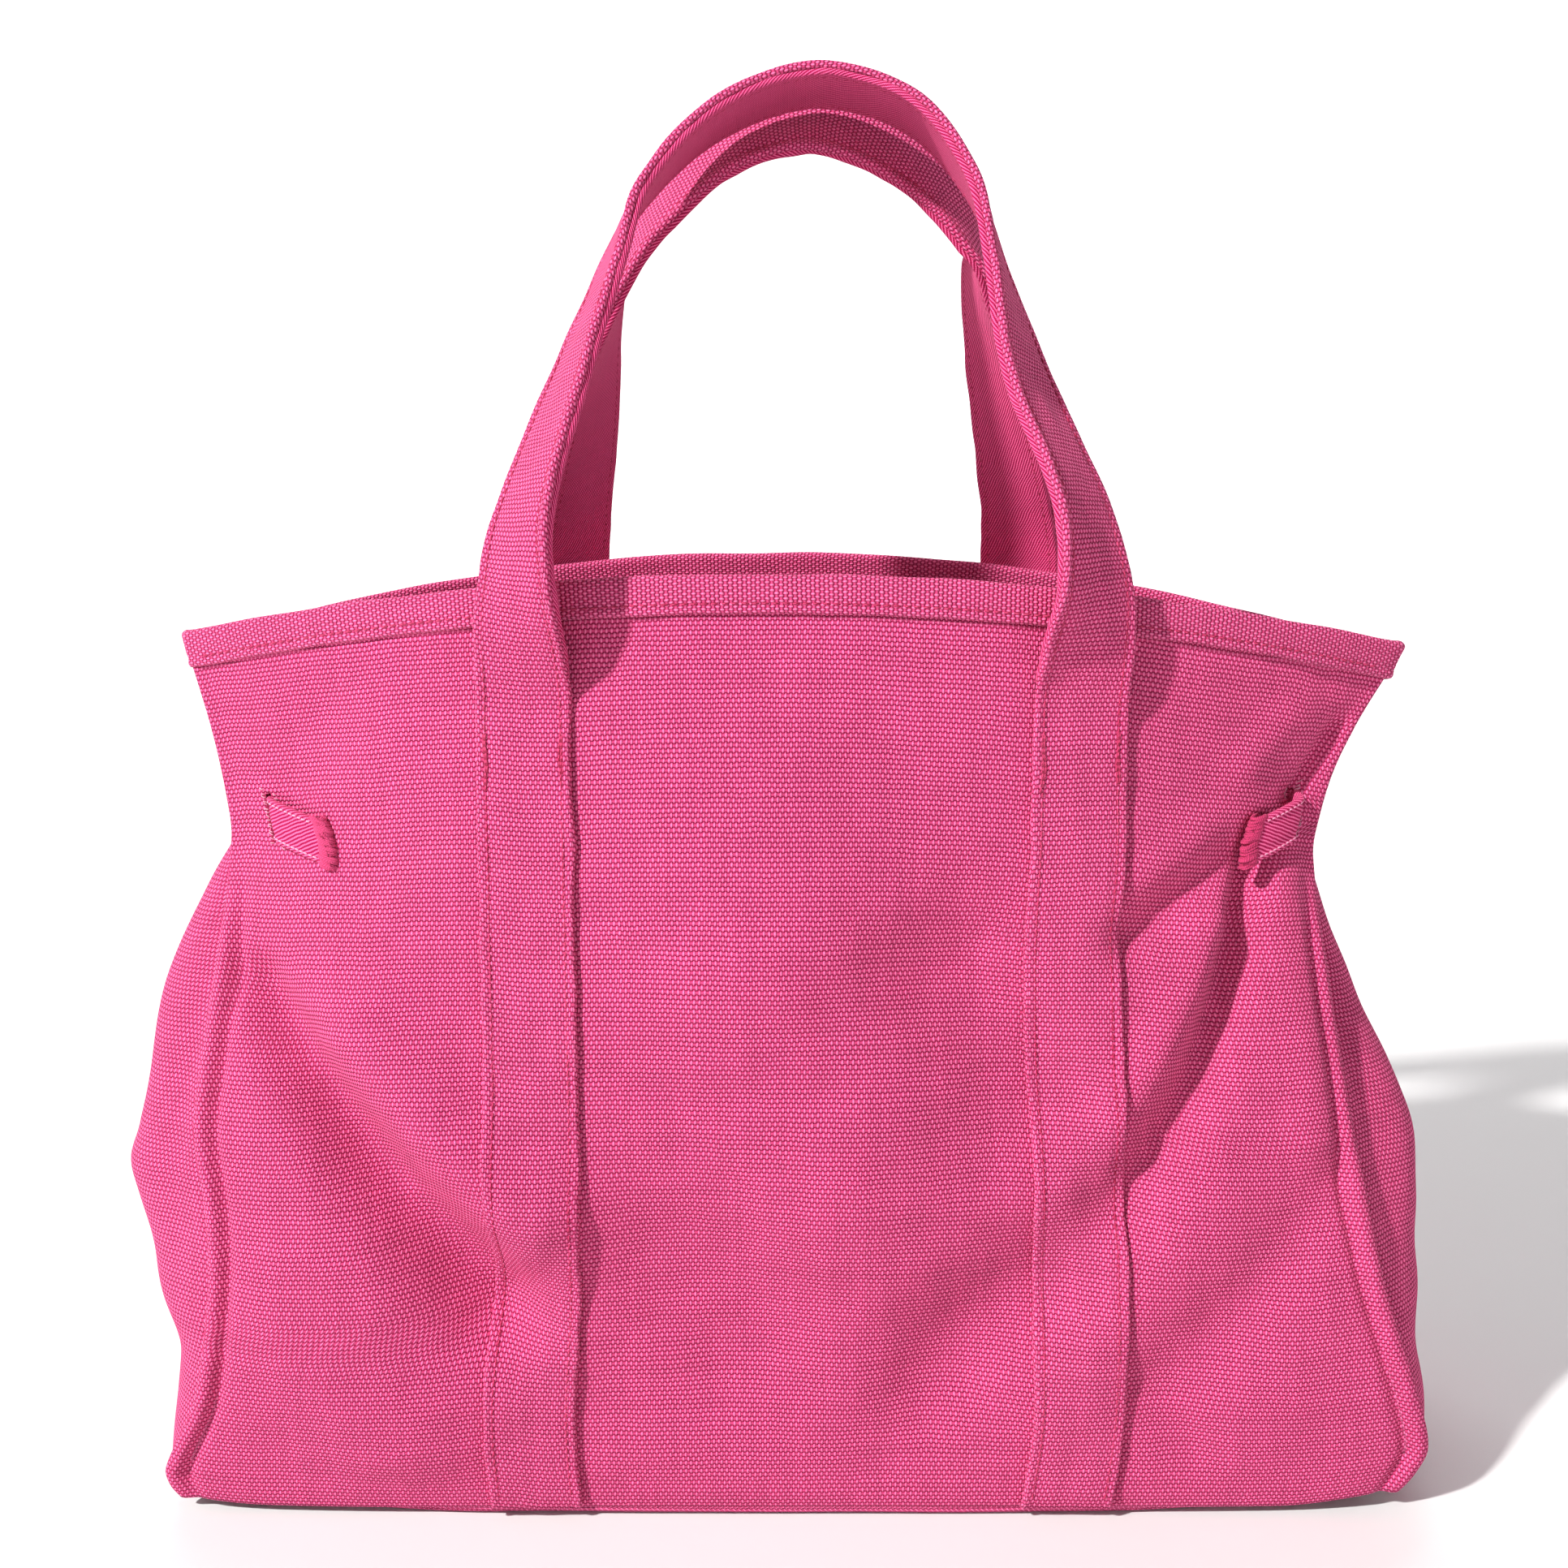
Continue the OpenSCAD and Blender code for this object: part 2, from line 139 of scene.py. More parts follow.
# How far the seams stand to the side, right and left: a full bag leans a little, so they differ.
SEAM_R = [(0, 231), (0.025, 236), (0.06, 239.5), (0.13, 233.5), (0.26, 220), (0.37, 212.5), (0.48, 206.5),
          (0.6, 201.5),
          (0.755, 197), (0.80, 199.6), (0.86, 205.6), (0.92, 215), (1, 231)]
SEAM_L = [(0, 236), (0.02, 239), (0.04, 239.5), (0.13, 226), (0.26, 219.5), (0.345, 220), (0.445, 225),
          (0.53, 222.5),
          (0.633, 218.6), (0.764, 214.8), (0.81, 216.6), (0.896, 222.5), (1, 232)]
BACK_X = [(0, 238), (0.05, 238), (0.25, 219), (0.44, 215), (PINCH_V, 205), (1, 231)]
SEAM_Y = [(0, BASE_D / 2 - 5), (0.15, BASE_D / 2 - 3), (0.4, BASE_D / 2 - 15), (PINCH_V, PINCH_D / 2),
          (1, CORNER_D / 2)]
MIDDLE_Y = [(0, BASE_D / 2 - 1), (0.15, BASE_D / 2 + 2), (0.4, BASE_D / 2 + 3), (PINCH_V, RIM_D / 2 + 11),
            (1, RIM_D / 2)]
SQUARE = [(0, 12), (0.4, 5), (PINCH_V, 3.2), (1, 2.4)]
BULGE_R = [(0, 3), (0.055, 8), (0.11, 13), (0.165, 14.5), (0.22, 20), (0.28, 22.5), (0.34, 26), (0.40, 29),
           (0.46, 27),
           (0.53, 20.5), (0.6, 14), (0.735, 3), (0.8, -5), (1, -SIDE_FOLD)]
BULGE_L = [(0, 0), (0.055, 9), (0.11, 15.5), (0.165, 19), (0.22, 28), (0.28, 32), (0.34, 36), (0.38, 38),
           (0.42, 33), (0.46, 30),
           (0.53, 30), (0.6, 27.5), (0.70, 17.5), (0.747, 9.5), (0.8, -4), (1, -SIDE_FOLD)]
SIDE_SQUARE = [(0, 5), (0.15, 6.5), (0.45, 6.5), (PINCH_V, 2.4), (1, 1.7)]
RIM_TILT = 2.3
GUSSET_GAP = 2.6  # from the panel's seam line to the gusset's
EAR = 7.5  # how far the binding stands out at the mouth's corners
BACK_DROP = 31

FRONT_FOLDS = [
    ([(-203, 204), (-160, 146), (-112, 88)], (11, 20), (-17, -22)),
    ([(-158, 192), (-132, 152), (-98, 124)], (20, 22), (6, 9)),
    ([(-196, 84), (-150, 34)], (30, 30), (6, 6)), ([(-199, 277), (-176, 269.5)], (2.4, 2.4), (1.4, 1.4)),
    ([(-199, 280), (-182, 274)], (2, 2), (-0.9, -0.9)), ([(-196, 262), (-176, 300)], (16, 16), (-3, -3)),
    ([(175, 258), (168, 234), (159, 203), (149, 176), (136, 150), (120, 126)], (5.5, 16), (-15, -11)),
    ([(154, 226), (140, 192), (120, 160)], (10, 14), (5, 4)), ([(190, 238), (196, 150)], (14, 14), (8, 8)),
    ([(207, 296), (191, 272)], (5.5, 4.5), (-20, -13)), ([(188, 306), (168, 286)], (9, 9), (3, 3)),
    ([(206, 130), (138, 56)], (16, 18), (-7, -5)), ([(216, 104), (150, 34)], (12, 12), (-3, -3)),
    ([(196, 86), (160, 44)], (14, 14), (4, 4)),
    ([(158, 250), (122, 226)], (8, 10), (-5, -6)), ([(150, 262), (126, 250)], (9, 9), (2, 2)),
    ([(196, 262), (180, 300)], (16, 16), (-2, -2)),
    ([(-14, 244), (-8, 226)], (52, 52), (9, 9)), ([(60, 214), (86, 172)], (32, 32), (-12, -12)),
    ([(20, 150), (16, 128)], (40, 40), (8, 8)),
    ([(-30, 96), (-20, 84)], (34, 34), (-8, -8)), ([(92, 100), (56, 62)], (24, 24), (-11, -11)),
    ([(-34, 204), (-28, 196)], (26, 26), (3, 3)),
]
BACK_FOLDS = [
    ([(186, 160), (134, 70)], (20, 24), (-11, -9)), ([(-170, 246), (-140, 170)], (10, 14), (-11, -8)),
    ([(-196, 118), (-140, 58)], (16, 16), (-7, -7)), ([(-184, 220), (-194, 140)], (16, 16), (5, 5)),
    ([(10, 226), (0, 210)], (58, 58), (6, 6)), ([(-60, 186), (-70, 170)], (44, 44), (-8, -8)),
    ([(40, 120), (30, 110)], (44, 44), (5, 5)),
    ([(20, 60), (0, 50)], (36, 36), (-5, -5)), ([(196, 262), (176, 300)], (16, 16), (-3, -3)),
    ([(-196, 262), (-176, 300)], (16, 16), (-3, -3)),
]


class Panel:
    """The front or back panel: sign is 1 for the front and -1 for the back."""

    def __init__(self, sign, strokes, seed):
        self.sign, self.strokes, self.seed = sign, strokes, seed

    def half(self, u, v):
        if self.sign < 0:
            return curve(BACK_X, v)
        w = smooth((u + 1) / 2)
        return curve(SEAM_L, v) * (1 - w) + curve(SEAM_R, v) * w

    def rim_z(self, u):
        return BODY_H - (CORNER_DROP if self.sign > 0 else BACK_DROP) * u**2 - RIM_TILT * u

    def plain(self, u, v):
        m, s = curve(MIDDLE_Y, v), curve(SEAM_Y, v)
        y = -(m + (s - m) * np.abs(u) ** curve(SQUARE, v))
        foot = FOOT_Z + 4.5 * smooth((u - 0.80) / 0.20) + 1.5 * smooth((-u - 0.86) / 0.14)
        z = foot + v * (self.rim_z(u) - foot)
        return np.stack([u * self.half(u, v), y * self.sign, z], -1)

    def height(self, u, v, p):
        x, z = p[..., 0], p[..., 2]
        held = (1 - np.abs(u) ** 10) * smooth((1 - v) / 0.12)
        h = folds(x, z, self.strokes)
        h = h + 0.8 * waves(x, z, 70, self.seed) + 0.26 * waves(x, z, 22, self.seed + 1)
        ends = np.clip(np.abs(u) - 0.45, 0, 1)
        tuck = -3.0 * np.clip(1 - z / 12, 0, 1) ** 2 - 5.0 * ends**2 * smooth(1 - z / 60)
        edge = (1 - np.abs(u)) * 225
        roll = 1.7 * np.exp(-((edge - 2.4) / 2.3) ** 2) - 2.0 * np.exp(-((edge - 7.2) / 2.6) ** 2)
        roll = roll * smooth((0.75 - v) / 0.12) * smooth(z / 20)
        rim = 0.5 * waves(x, z * 0, 60, self.seed + 2) * smooth(v * 8 - 7)
        return roll + h * held * smooth(z / 30) + rim + tuck

    def frame(self, u, v):
        """The plain surface's place and outward normal."""
        e = 0.002
        u, v = np.broadcast_arrays(np.asarray(u, float), np.asarray(v, float))
        a = self.plain(u + e, v) - self.plain(u - e, v)
        b = self.plain(u, v + e) - self.plain(u, v - e)
        n = unit(np.cross(a, b)) * self.sign
        return self.plain(u, v), n

    def at(self, u, v, out=0.0):
        p, n = self.frame(u, v)
        return p + n * (self.height(np.asarray(u, float), np.asarray(v, float), p) + out)[..., None]

    def share(self, x, z):
        """The (u, v) where the plain surface is at x and z."""
        x, z = np.broadcast_arrays(np.asarray(x, float), np.asarray(z, float))
        u = x / (RIM_W / 2)
        for _ in range(8):
            v = np.clip((z - FOOT_Z) / (self.rim_z(u) - FOOT_Z), -0.02, 1.05)
            u = x / self.half(u, v)
        return u, v

    def at_xz(self, x, z, out=0.0):
        u, v = self.share(x, z)
        return self.at(u, v, np.asarray(out, float) + np.zeros(u.shape))


FRONT, BACK = Panel(1, FRONT_FOLDS, 11), Panel(-1, BACK_FOLDS, 31)


def side_grid(sign, g, v, out=0.0):
    """The right (sign 1) or left gusset: g from -1 at the front seam to 1 at the back seam."""
    uf = np.full(v.shape, float(sign))
    f, b = FRONT.at(uf, v), BACK.at(uf, v)
    f = f + np.array([-1.0 * sign, GUSSET_GAP, 0])
    b = b + np.array([-1.0 * sign, -GUSSET_GAP, 0])
    w = ((g + 1) / 2)[..., None]
    p = f + (b - f) * w
    low = smooth(v / 0.06)
    bulge = curve(BULGE_R if sign > 0 else BULGE_L, v) * (1 - np.abs(g) ** curve(SIDE_SQUARE, v))
    crease = -5.5 * np.exp(-((np.abs(g) - 0.9) / 0.07) ** 2) * smooth((v - 0.22) / 0.15)
    crease = crease * smooth((0.95 - v) / 0.2)
    ridge = 3.0 * np.exp(-((np.abs(g) - 0.62) / 0.17) ** 2) * smooth((v - 0.15) / 0.2)
    ridge = ridge * smooth((0.85 - v) / 0.2)
    valley = -6.0 * np.exp(-(g / 0.22) ** 2) * smooth((v - 0.35) / 0.2) * smooth((0.72 - v) / 0.1)
    soft = 1.6 * waves(g * 60, v * 300, 90, 51 + sign) + 0.5 * waves(g * 60, v * 300, 30, 57 + sign)
    edge = 1 - np.abs(g) ** 8
    p[..., 0] += sign * (bulge + crease + (ridge + valley + soft * smooth(v * 4)) * edge * low + out)
    return p


# ---- meshes ------------------------------------------------------------------------------------------
def finish_mesh(name, verts, faces, uvs, material, body, nodes, recalc=True):
    mesh = bpy.data.meshes.new(name)
    mesh.from_pydata((np.asarray(verts, float) * MM).tolist(), [], faces)
    layer = mesh.uv_layers.new(name="cloth")
    layer.data.foreach_set("uv", np.asarray(uvs, np.float32).ravel())
    mesh.polygons.foreach_set("use_smooth", [True] * len(mesh.polygons))
    if recalc:
        bm = bmesh.new()
        bm.from_mesh(mesh)
        bmesh.ops.recalc_face_normals(bm, faces=bm.faces)
        bm.to_mesh(mesh)
        bm.free()
    mesh.materials.append(material)
    obj = bpy.data.objects.new(name, mesh)
    bpy.context.scene.collection.objects.link(obj)
    if body:
        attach(obj, body)
    if nodes:
        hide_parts(*nodes)
    return obj


def ring_mesh(name, rings, caps, material, body, nodes=(), zero=0):
    """A closed solid of rings, (n, m, 3). caps lists the polygons of one ring that close its ends. The
    cloth coordinates
    run across and along the piece in millimetres; zero is the ring point they start from."""
    n, m = rings.shape[:2]
    closed = np.concatenate([rings, rings[:, :1]], 1)
    s = np.zeros((n, m + 1))
    s[:, 1:] = np.cumsum(np.linalg.norm(np.diff(closed, axis=1), axis=-1), 1)
    s -= s[:, zero:zero + 1]
    t = np.zeros((n, m + 1))
    t[1:] = np.cumsum(np.linalg.norm(np.diff(closed, axis=0), axis=-1), 0)
    t[:] = t.mean(1, keepdims=True) * 0.88 + t * 0.12
    st = np.stack([s, t], -1)
    i, j = np.meshgrid(np.arange(n - 1), np.arange(m), indexing="ij")
    i, j = i.ravel(), j.ravel()
    k = (j + 1) % m
    quads = np.stack([i * m + j, i * m + k, (i + 1) * m + k, (i + 1) * m + j], -1)
    uv = np.stack([st[i, j], st[i, j + 1], st[i + 1, j + 1], st[i + 1, j]], 1).reshape(-1, 2)
    faces, uvs = quads.tolist(), [uv]
    for row in (0, n - 1):
        for poly in caps:
            faces.append([row * m + q for q in poly])
            uvs.append(np.array([st[row, q] for q in poly]))
    return finish_mesh(name, rings.reshape(-1, 3), faces, np.concatenate(uvs), material, body, nodes)


def grid_normals(p):
    return unit(np.cross(np.gradient(p, axis=1), np.gradient(p, axis=0)))


def arc(p, inward, n, r, steps):
    """Points of a rolled edge: from p, whose outward normal is n, turning towards inward and round."""
    a = np.radians(np.linspace(0, 150, steps + 2)[1:-1])
    c = p - n * r
    return [c + n * r * math.cos(q) + inward * r * math.sin(q) for q in a]


def spread(count, reach):
    """Places from -1 to 1, closer together near both ends."""
    return np.sin(np.linspace(-1, 1, count) * math.pi / 2 * reach) / math.sin(math.pi / 2 * reach)


def cloth_mesh(name, mid, n, lip, radius, steps, material):
    """Cloth on both sides of a grid of middle points, its two upright edges rolled in. lip thickens it
    near them."""
    count = mid.shape[1]
    outer, inner = mid + n * (CANVAS / 2 + lip)[..., None], mid - n * CANVAS / 2
    right = np.stack(arc(outer[:, -1], unit(outer[:, -1] - outer[:, -3]), n[:, -1], radius, steps), 1)
    left = np.stack(arc(outer[:, 0], unit(outer[:, 0] - outer[:, 2]), n[:, 0], radius, steps), 1)
    ring = np.concatenate([outer, right, inner[:, ::-1], left[:, ::-1]], 1)
    far, around = 2 * count + steps - 1, 2 * count + 2 * steps
    caps = [[i, i + 1, far - 1 - i, far - i] for i in range(count - 1)]
    caps.append([count - 1 + q for q in range(steps + 2)])
    caps.append([(far + q) % around for q in range(steps + 2)])
    return ring_mesh(name + "_canvas", ring, caps, material, "body", [name], zero=count // 2)


def panel_mesh(name, panel, material):
    nu, nv = ((300, 230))
    uu, vv = np.meshgrid(spread(nu, 0.92), np.linspace(0, 1, nv))
    mid = panel.at(uu, vv)
    lip = 0.7 * np.exp(-((1 - np.abs(uu)) / 0.012) ** 2)
    return cloth_mesh(name, mid, grid_normals(mid) * panel.sign, lip, 2.0, 6, material)


def gusset_mesh(name, sign, material):
    ng, nv = ((100, 210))
    gg, vv = np.meshgrid(spread(ng, 0.9), np.linspace(0, 1, nv))
    mid = side_grid(sign, gg, vv)
    return cloth_mesh(name, mid, grid_normals(mid) * sign, np.zeros(gg.shape), 1.8, 5, material)


# ---- materials ---------------------------------------------------------------------------------------
class Nodes:
    """Short names for the nodes of one material."""

    def __init__(self, name):
        self.mat = bpy.data.materials.new(name)
        self.mat.use_nodes = True
        self.tree = self.mat.node_tree
        self.tree.nodes.clear()

    def add(self, kind, **values):
        node = self.tree.nodes.new(kind)
        for k, v in values.items():
            setattr(node, k, v)
        return node

    def feed(self, socket, value):
        if isinstance(value, bpy.types.NodeSocket):
            self.tree.links.new(value, socket)
        else:
            socket.default_value = value

    def math(self, operation, a, b=0.0, c=0.0):
        node = self.add("ShaderNodeMath", operation=operation)
        for socket, value in zip(node.inputs, (a, b, c)):
            self.feed(socket, value)
        return node.outputs[0]

    def mul(self, a, b):
        return self.math("MULTIPLY", a, b)

    def sub(self, a, b):
        return self.math("SUBTRACT", a, b)

    def mul_add(self, a, b, c):
        return self.math("MULTIPLY_ADD", a, b, c)

    def noise(self, vector, scale, detail=2.0, rough=0.5):
        node = self.add("ShaderNodeTexNoise", noise_dimensions="3D")
        self.feed(node.inputs["Vector"], vector)
        node.inputs["Scale"].default_value = scale
        node.inputs["Detail"].default_value = detail
        node.inputs["Roughness"].default_value = rough
        return node.outputs[0]

    def white(self, vector):
        node = self.add("ShaderNodeTexWhiteNoise", noise_dimensions="3D")
        self.feed(node.inputs["Vector"], vector)
        return node.outputs["Value"]

    def vector(self, x, y, z=0.0):
        node = self.add("ShaderNodeCombineXYZ")
        for socket, value in zip(node.inputs, (x, y, z)):
            self.feed(socket, value)
        return node.outputs[0]

    def mix(self, factor, a, b):
        node = self.add("ShaderNodeMix", data_type="RGBA")
        self.feed(node.inputs[0], factor)
        self.feed(node.inputs[6], a)
        self.feed(node.inputs[7], b)
        return node.outputs[2]

    def remap(self, value, low, high, to_low, to_high):
        node = self.add("ShaderNodeMapRange")
        for socket, v in zip(node.inputs, (value, low, high, to_low, to_high)):
            self.feed(socket, v)
        return node.outputs[0]


def cloth_material(name, colour, warp=0.97, weft=1.74, twill=0.0, relief=1.0, fleck=0.12, rough=0.9,
                   sheen=0.11):
    """Woven cotton. warp and weft are the threads' pitches in millimetres; twill above 0 is the pitch of
    diagonal ribs
    and takes the place of the plain weave."""
    k = Nodes(name)
    uv = k.add("ShaderNodeUVMap", uv_map="cloth").outputs[0]
    geo = k.add("ShaderNodeTexCoord").outputs["Object"]
    wander = k.sub(k.noise(uv, 0.16, 2.0), 0.5)
    wander2 = k.sub(k.noise(uv, 0.11, 2.0), 0.5)
    split = k.add("ShaderNodeSeparateXYZ")
    k.feed(split.inputs[0], uv)
    s = k.mul_add(wander, 0.9, split.outputs[0])
    t = k.mul_add(wander2, 0.9, split.outputs[1])
    x, z = k.math("DIVIDE", s, warp), k.math("DIVIDE", t, weft)
    i, j = k.math("ROUND", x), k.math("ROUND", z)
    fx, fz = k.sub(x, i), k.sub(z, j)
    if twill:
        d = k.mul_add(t, 0.62, s)
        rib = k.mul_add(k.math("COSINE", k.mul(d, 2 * math.pi / twill)), 0.5, 0.5)
        cross = k.mul_add(k.math("COSINE", k.mul(t, 2 * math.pi / (0.55 * twill))), 0.5, 0.5)
        high = k.mul_add(cross, 0.25, k.mul(rib, 0.75))
    else:
        turn = k.mul(k.math("ADD", z, i), math.pi)
        away = k.math("DIVIDE", k.math("ARCCOSINE", k.math("COSINE", turn)), math.pi)
        side = k.mul(k.mul(fx, fx), 2.5)
        dip = k.mul(k.mul(away, away), 2.5)
        warp_h = k.math("SQRT", k.math("MAXIMUM", k.sub(k.sub(1.0, side), dip), 0.0))
        weft_h = k.mul(k.math("SQRT", k.math("MAXIMUM", k.sub(1.0, k.mul(k.mul(fz, fz), 5.5)), 0.0)), 0.52)
        high = k.math("SMOOTH_MAX", warp_h, weft_h, 0.12)
    fibre = k.noise(k.vector(k.mul(s, 3.2), k.mul(t, 1.5)), 1.0, 3.0, 0.6)
    thread = k.white(k.vector(i, k.math("ROUND", k.math("DIVIDE", t, 31.0)), 2.0))
    pick = k.white(k.vector(j, k.math("ROUND", k.math("DIVIDE", s, 43.0)), 5.0))
    cloud = k.noise(geo, 9.0, 3.0, 0.55)
    slub = k.noise(k.vector(k.mul(s, 0.05), k.mul(t, 0.9)), 1.0, 2.0)
    r, g, b = colour
    # Painted shade and highlight: the weave's low points are mixed towards a dark crimson, painted shade in the
    # crevices between threads, and its crowns towards a paler pink, a painted highlight (lit).
    painted_crevice_shade = (r * 0.42, g * 0.05, b * 0.22, 1)
    lit = (min(r * 1.18, 1), g * 1.9 + 0.02, b * 1.5 + 0.02, 1)
    tone = k.mix(k.remap(high, 0.25, 0.72, 0.0, 1.0), painted_crevice_shade, (r, g, b, 1))
    tone = k.mix(k.remap(high, 0.66, 0.98, 0.0, 1.0), tone, lit)
    edge = k.remap(k.add("ShaderNodeNewGeometry").outputs["Pointiness"], 0.53, 0.62, 0.0, 1.0)
    worn = k.mul(edge, k.remap(cloud, 0.38, 0.62, 0.1, 0.55))
    tone = k.mix(worn, tone, (min(r * 1.12, 1), g * 2.1 + 0.03, b * 1.5 + 0.03, 1))
    shade = k.mul_add(k.sub(thread, 0.5), fleck, 1.0)
    shade = k.mul_add(k.sub(pick, 0.5), fleck * 0.8, shade)
    shade = k.mul_add(k.sub(cloud, 0.5), 0.10, shade)
    shade = k.mul_add(k.sub(slub, 0.5), 0.10, shade)
    shade = k.mul_add(k.sub(fibre, 0.5), 0.16, shade)
    scale = k.add("ShaderNodeVectorMath", operation="SCALE")
    k.feed(scale.inputs[0], tone)
    k.feed(scale.inputs["Scale"], shade)
    bump_in = k.mul_add(fibre, 0.16, high)
    bump = k.add("ShaderNodeBump")
    bump.inputs["Strength"].default_value = 1.0
    bump.inputs["Distance"].default_value = relief * MM
    k.feed(bump.inputs["Height"], bump_in)
    bsdf = k.add("ShaderNodeBsdfPrincipled")
    k.feed(bsdf.inputs["Base Color"], scale.outputs[0])
    k.feed(bsdf.inputs["Roughness"], k.remap(high, 0.0, 1.0, min(rough + 0.08, 1.0), rough - 0.04))
    bsdf.inputs["Specular IOR Level"].default_value = 0.08
    bsdf.inputs["Sheen Weight"].default_value = sheen
    bsdf.inputs["Sheen Roughness"].default_value = 0.5
    bsdf.inputs["Sheen Tint"].default_value = (1.0, 0.45, 0.66, 1)
    k.feed(bsdf.inputs["Normal"], bump.outputs[0])
    out = k.add("ShaderNodeOutputMaterial")
    k.tree.links.new(bsdf.outputs[0], out.inputs[0])
    return k.mat


PINK = (0.81, 0.094, 0.272)
canvas = cloth_material("pink_duck_canvas", PINK)
strap_canvas = cloth_material("pink_strap_canvas", (0.80, 0.095, 0.272), warp=0.95, weft=1.70)
band_canvas = cloth_material("pink_binding_canvas", (0.81, 0.105, 0.285), warp=0.95, weft=1.62)
lining = cloth_material("pink_lining_twill", (0.74, 0.075, 0.235), twill=1.25, relief=0.2, fleck=0.04)
tab_twill = cloth_material("pink_tab_twill", (0.76, 0.088, 0.255), twill=1.35, relief=0.24, fleck=0.04)
# The stitching thread is darker than the cloth: partly the thread's own colour, partly painted shade of
# stitches sunk into the canvas.
thread = cloth_material("pink_thread", (0.46, 0.020, 0.090), twill=0.45, relief=0.10, fleck=0.02, rough=0.7,
                        sheen=0.1)
pale_thread = cloth_material("pale_pink_thread", (0.86, 0.24, 0.44), twill=0.45, relief=0.08, fleck=0.02,
                             rough=0.8, sheen=0.08)
frayed = cloth_material("pink_frayed_yarn", (0.60, 0.030, 0.135), twill=0.5, relief=0.12, fleck=0.05,
                        rough=0.9, sheen=0.10)

front_panel = panel_mesh("front_panel", FRONT, canvas)
back_panel = panel_mesh("back_panel", BACK, canvas)
right_gusset = gusset_mesh("right_gusset", 1, canvas)
left_gusset = gusset_mesh("left_gusset", -1, canvas)


# ---- base --------------------------------------------------------------------------------------------
def base_mesh():
    """The base panel: flat underneath, its edge rolled up to the seam all round."""
    n = 360
    a = np.linspace(0, 2 * math.pi, n, endpoint=False)
    rings = []
    profile = [(-60, 3.4), (-30, 3.4), (-8, 3.6), (-3, 4.3), (-1.0, 4.9), (0.2, 4.4), (0.9, 3.2), (0.7, 1.9),
               (-0.4, 0.9), (-2.4, 0.25), (-6, 0.0), (-30, 0.0), (-60, 0.0)]
    c, s = np.cos(a), np.sin(a)
    q = 5.0
    rad = (np.abs(c) ** q + np.abs(s) ** q) ** (-1 / q)
    for d, z in profile:
        w, h = BASE_W / 2 - 1.2 + d, BASE_D / 2 - 2.4 + d * (1 if d > -30 else 0.9)
        x, y = w * rad * c, h * rad * s
        y = y * (1 - 0.035 * np.clip(np.abs(x) / w - 0.45, 0, 1) ** 2 * 3)
        lift = z + 0.25 * waves(x, y, 60, 71) * (0 < z < 5)
        rings.append(np.stack([x, y, np.maximum(lift, 0)], -1))
    rings = np.stack(rings)
    return ring_mesh("base_panel_canvas", rings, [list(range(n))], canvas, "body", ["base_panel"])


base_panel = base_mesh()


# ---- straps ------------------------------------------------------------------------------------------
STRAP_W, PLY = 35.0, 2.4
SEWN_H = 320.0
STITCH_IN = 3.8
LEG_FOOT = 5.0
BEND_Y, BEND_LOW, BEND_HIGH = 0.0785, 0.308, 0.336  # where the cloth bends as a handle swings, in metres


def strap_profile(t, w=STRAP_W, thin=False):
    """The outline of a folded strap across its width: (place across, height), one closed turn."""
    h = w / 2
    n = 15 if thin else 23
    top = np.linspace(h - 1.1, -h + 1.1, n)
    groove = -0.34 * np.exp(-((np.abs(top) - (h - STITCH_IN)) / 0.8) ** 2)
    ridge = 0.5 * np.exp(-((np.abs(top) - (h - 1.5)) / 1.2) ** 2)
    pts = [(x, t / 2 + g) for x, g in zip(top, groove + ridge)]
    r = t / 2 + 0.22
    pts += [(-h + 1.1 - 1.1 * math.sin(q), r * math.cos(q)) for q in np.radians([30, 60, 90, 120, 150])]
    pts += [(x, -t / 2) for x in np.linspace(-h + 1.1, h - 1.1, 7)]
    pts += [(h - 1.1 + 1.1 * math.sin(q), r * math.cos(q)) for q in np.radians([150, 120, 90, 60, 30])]
    return np.array(pts)


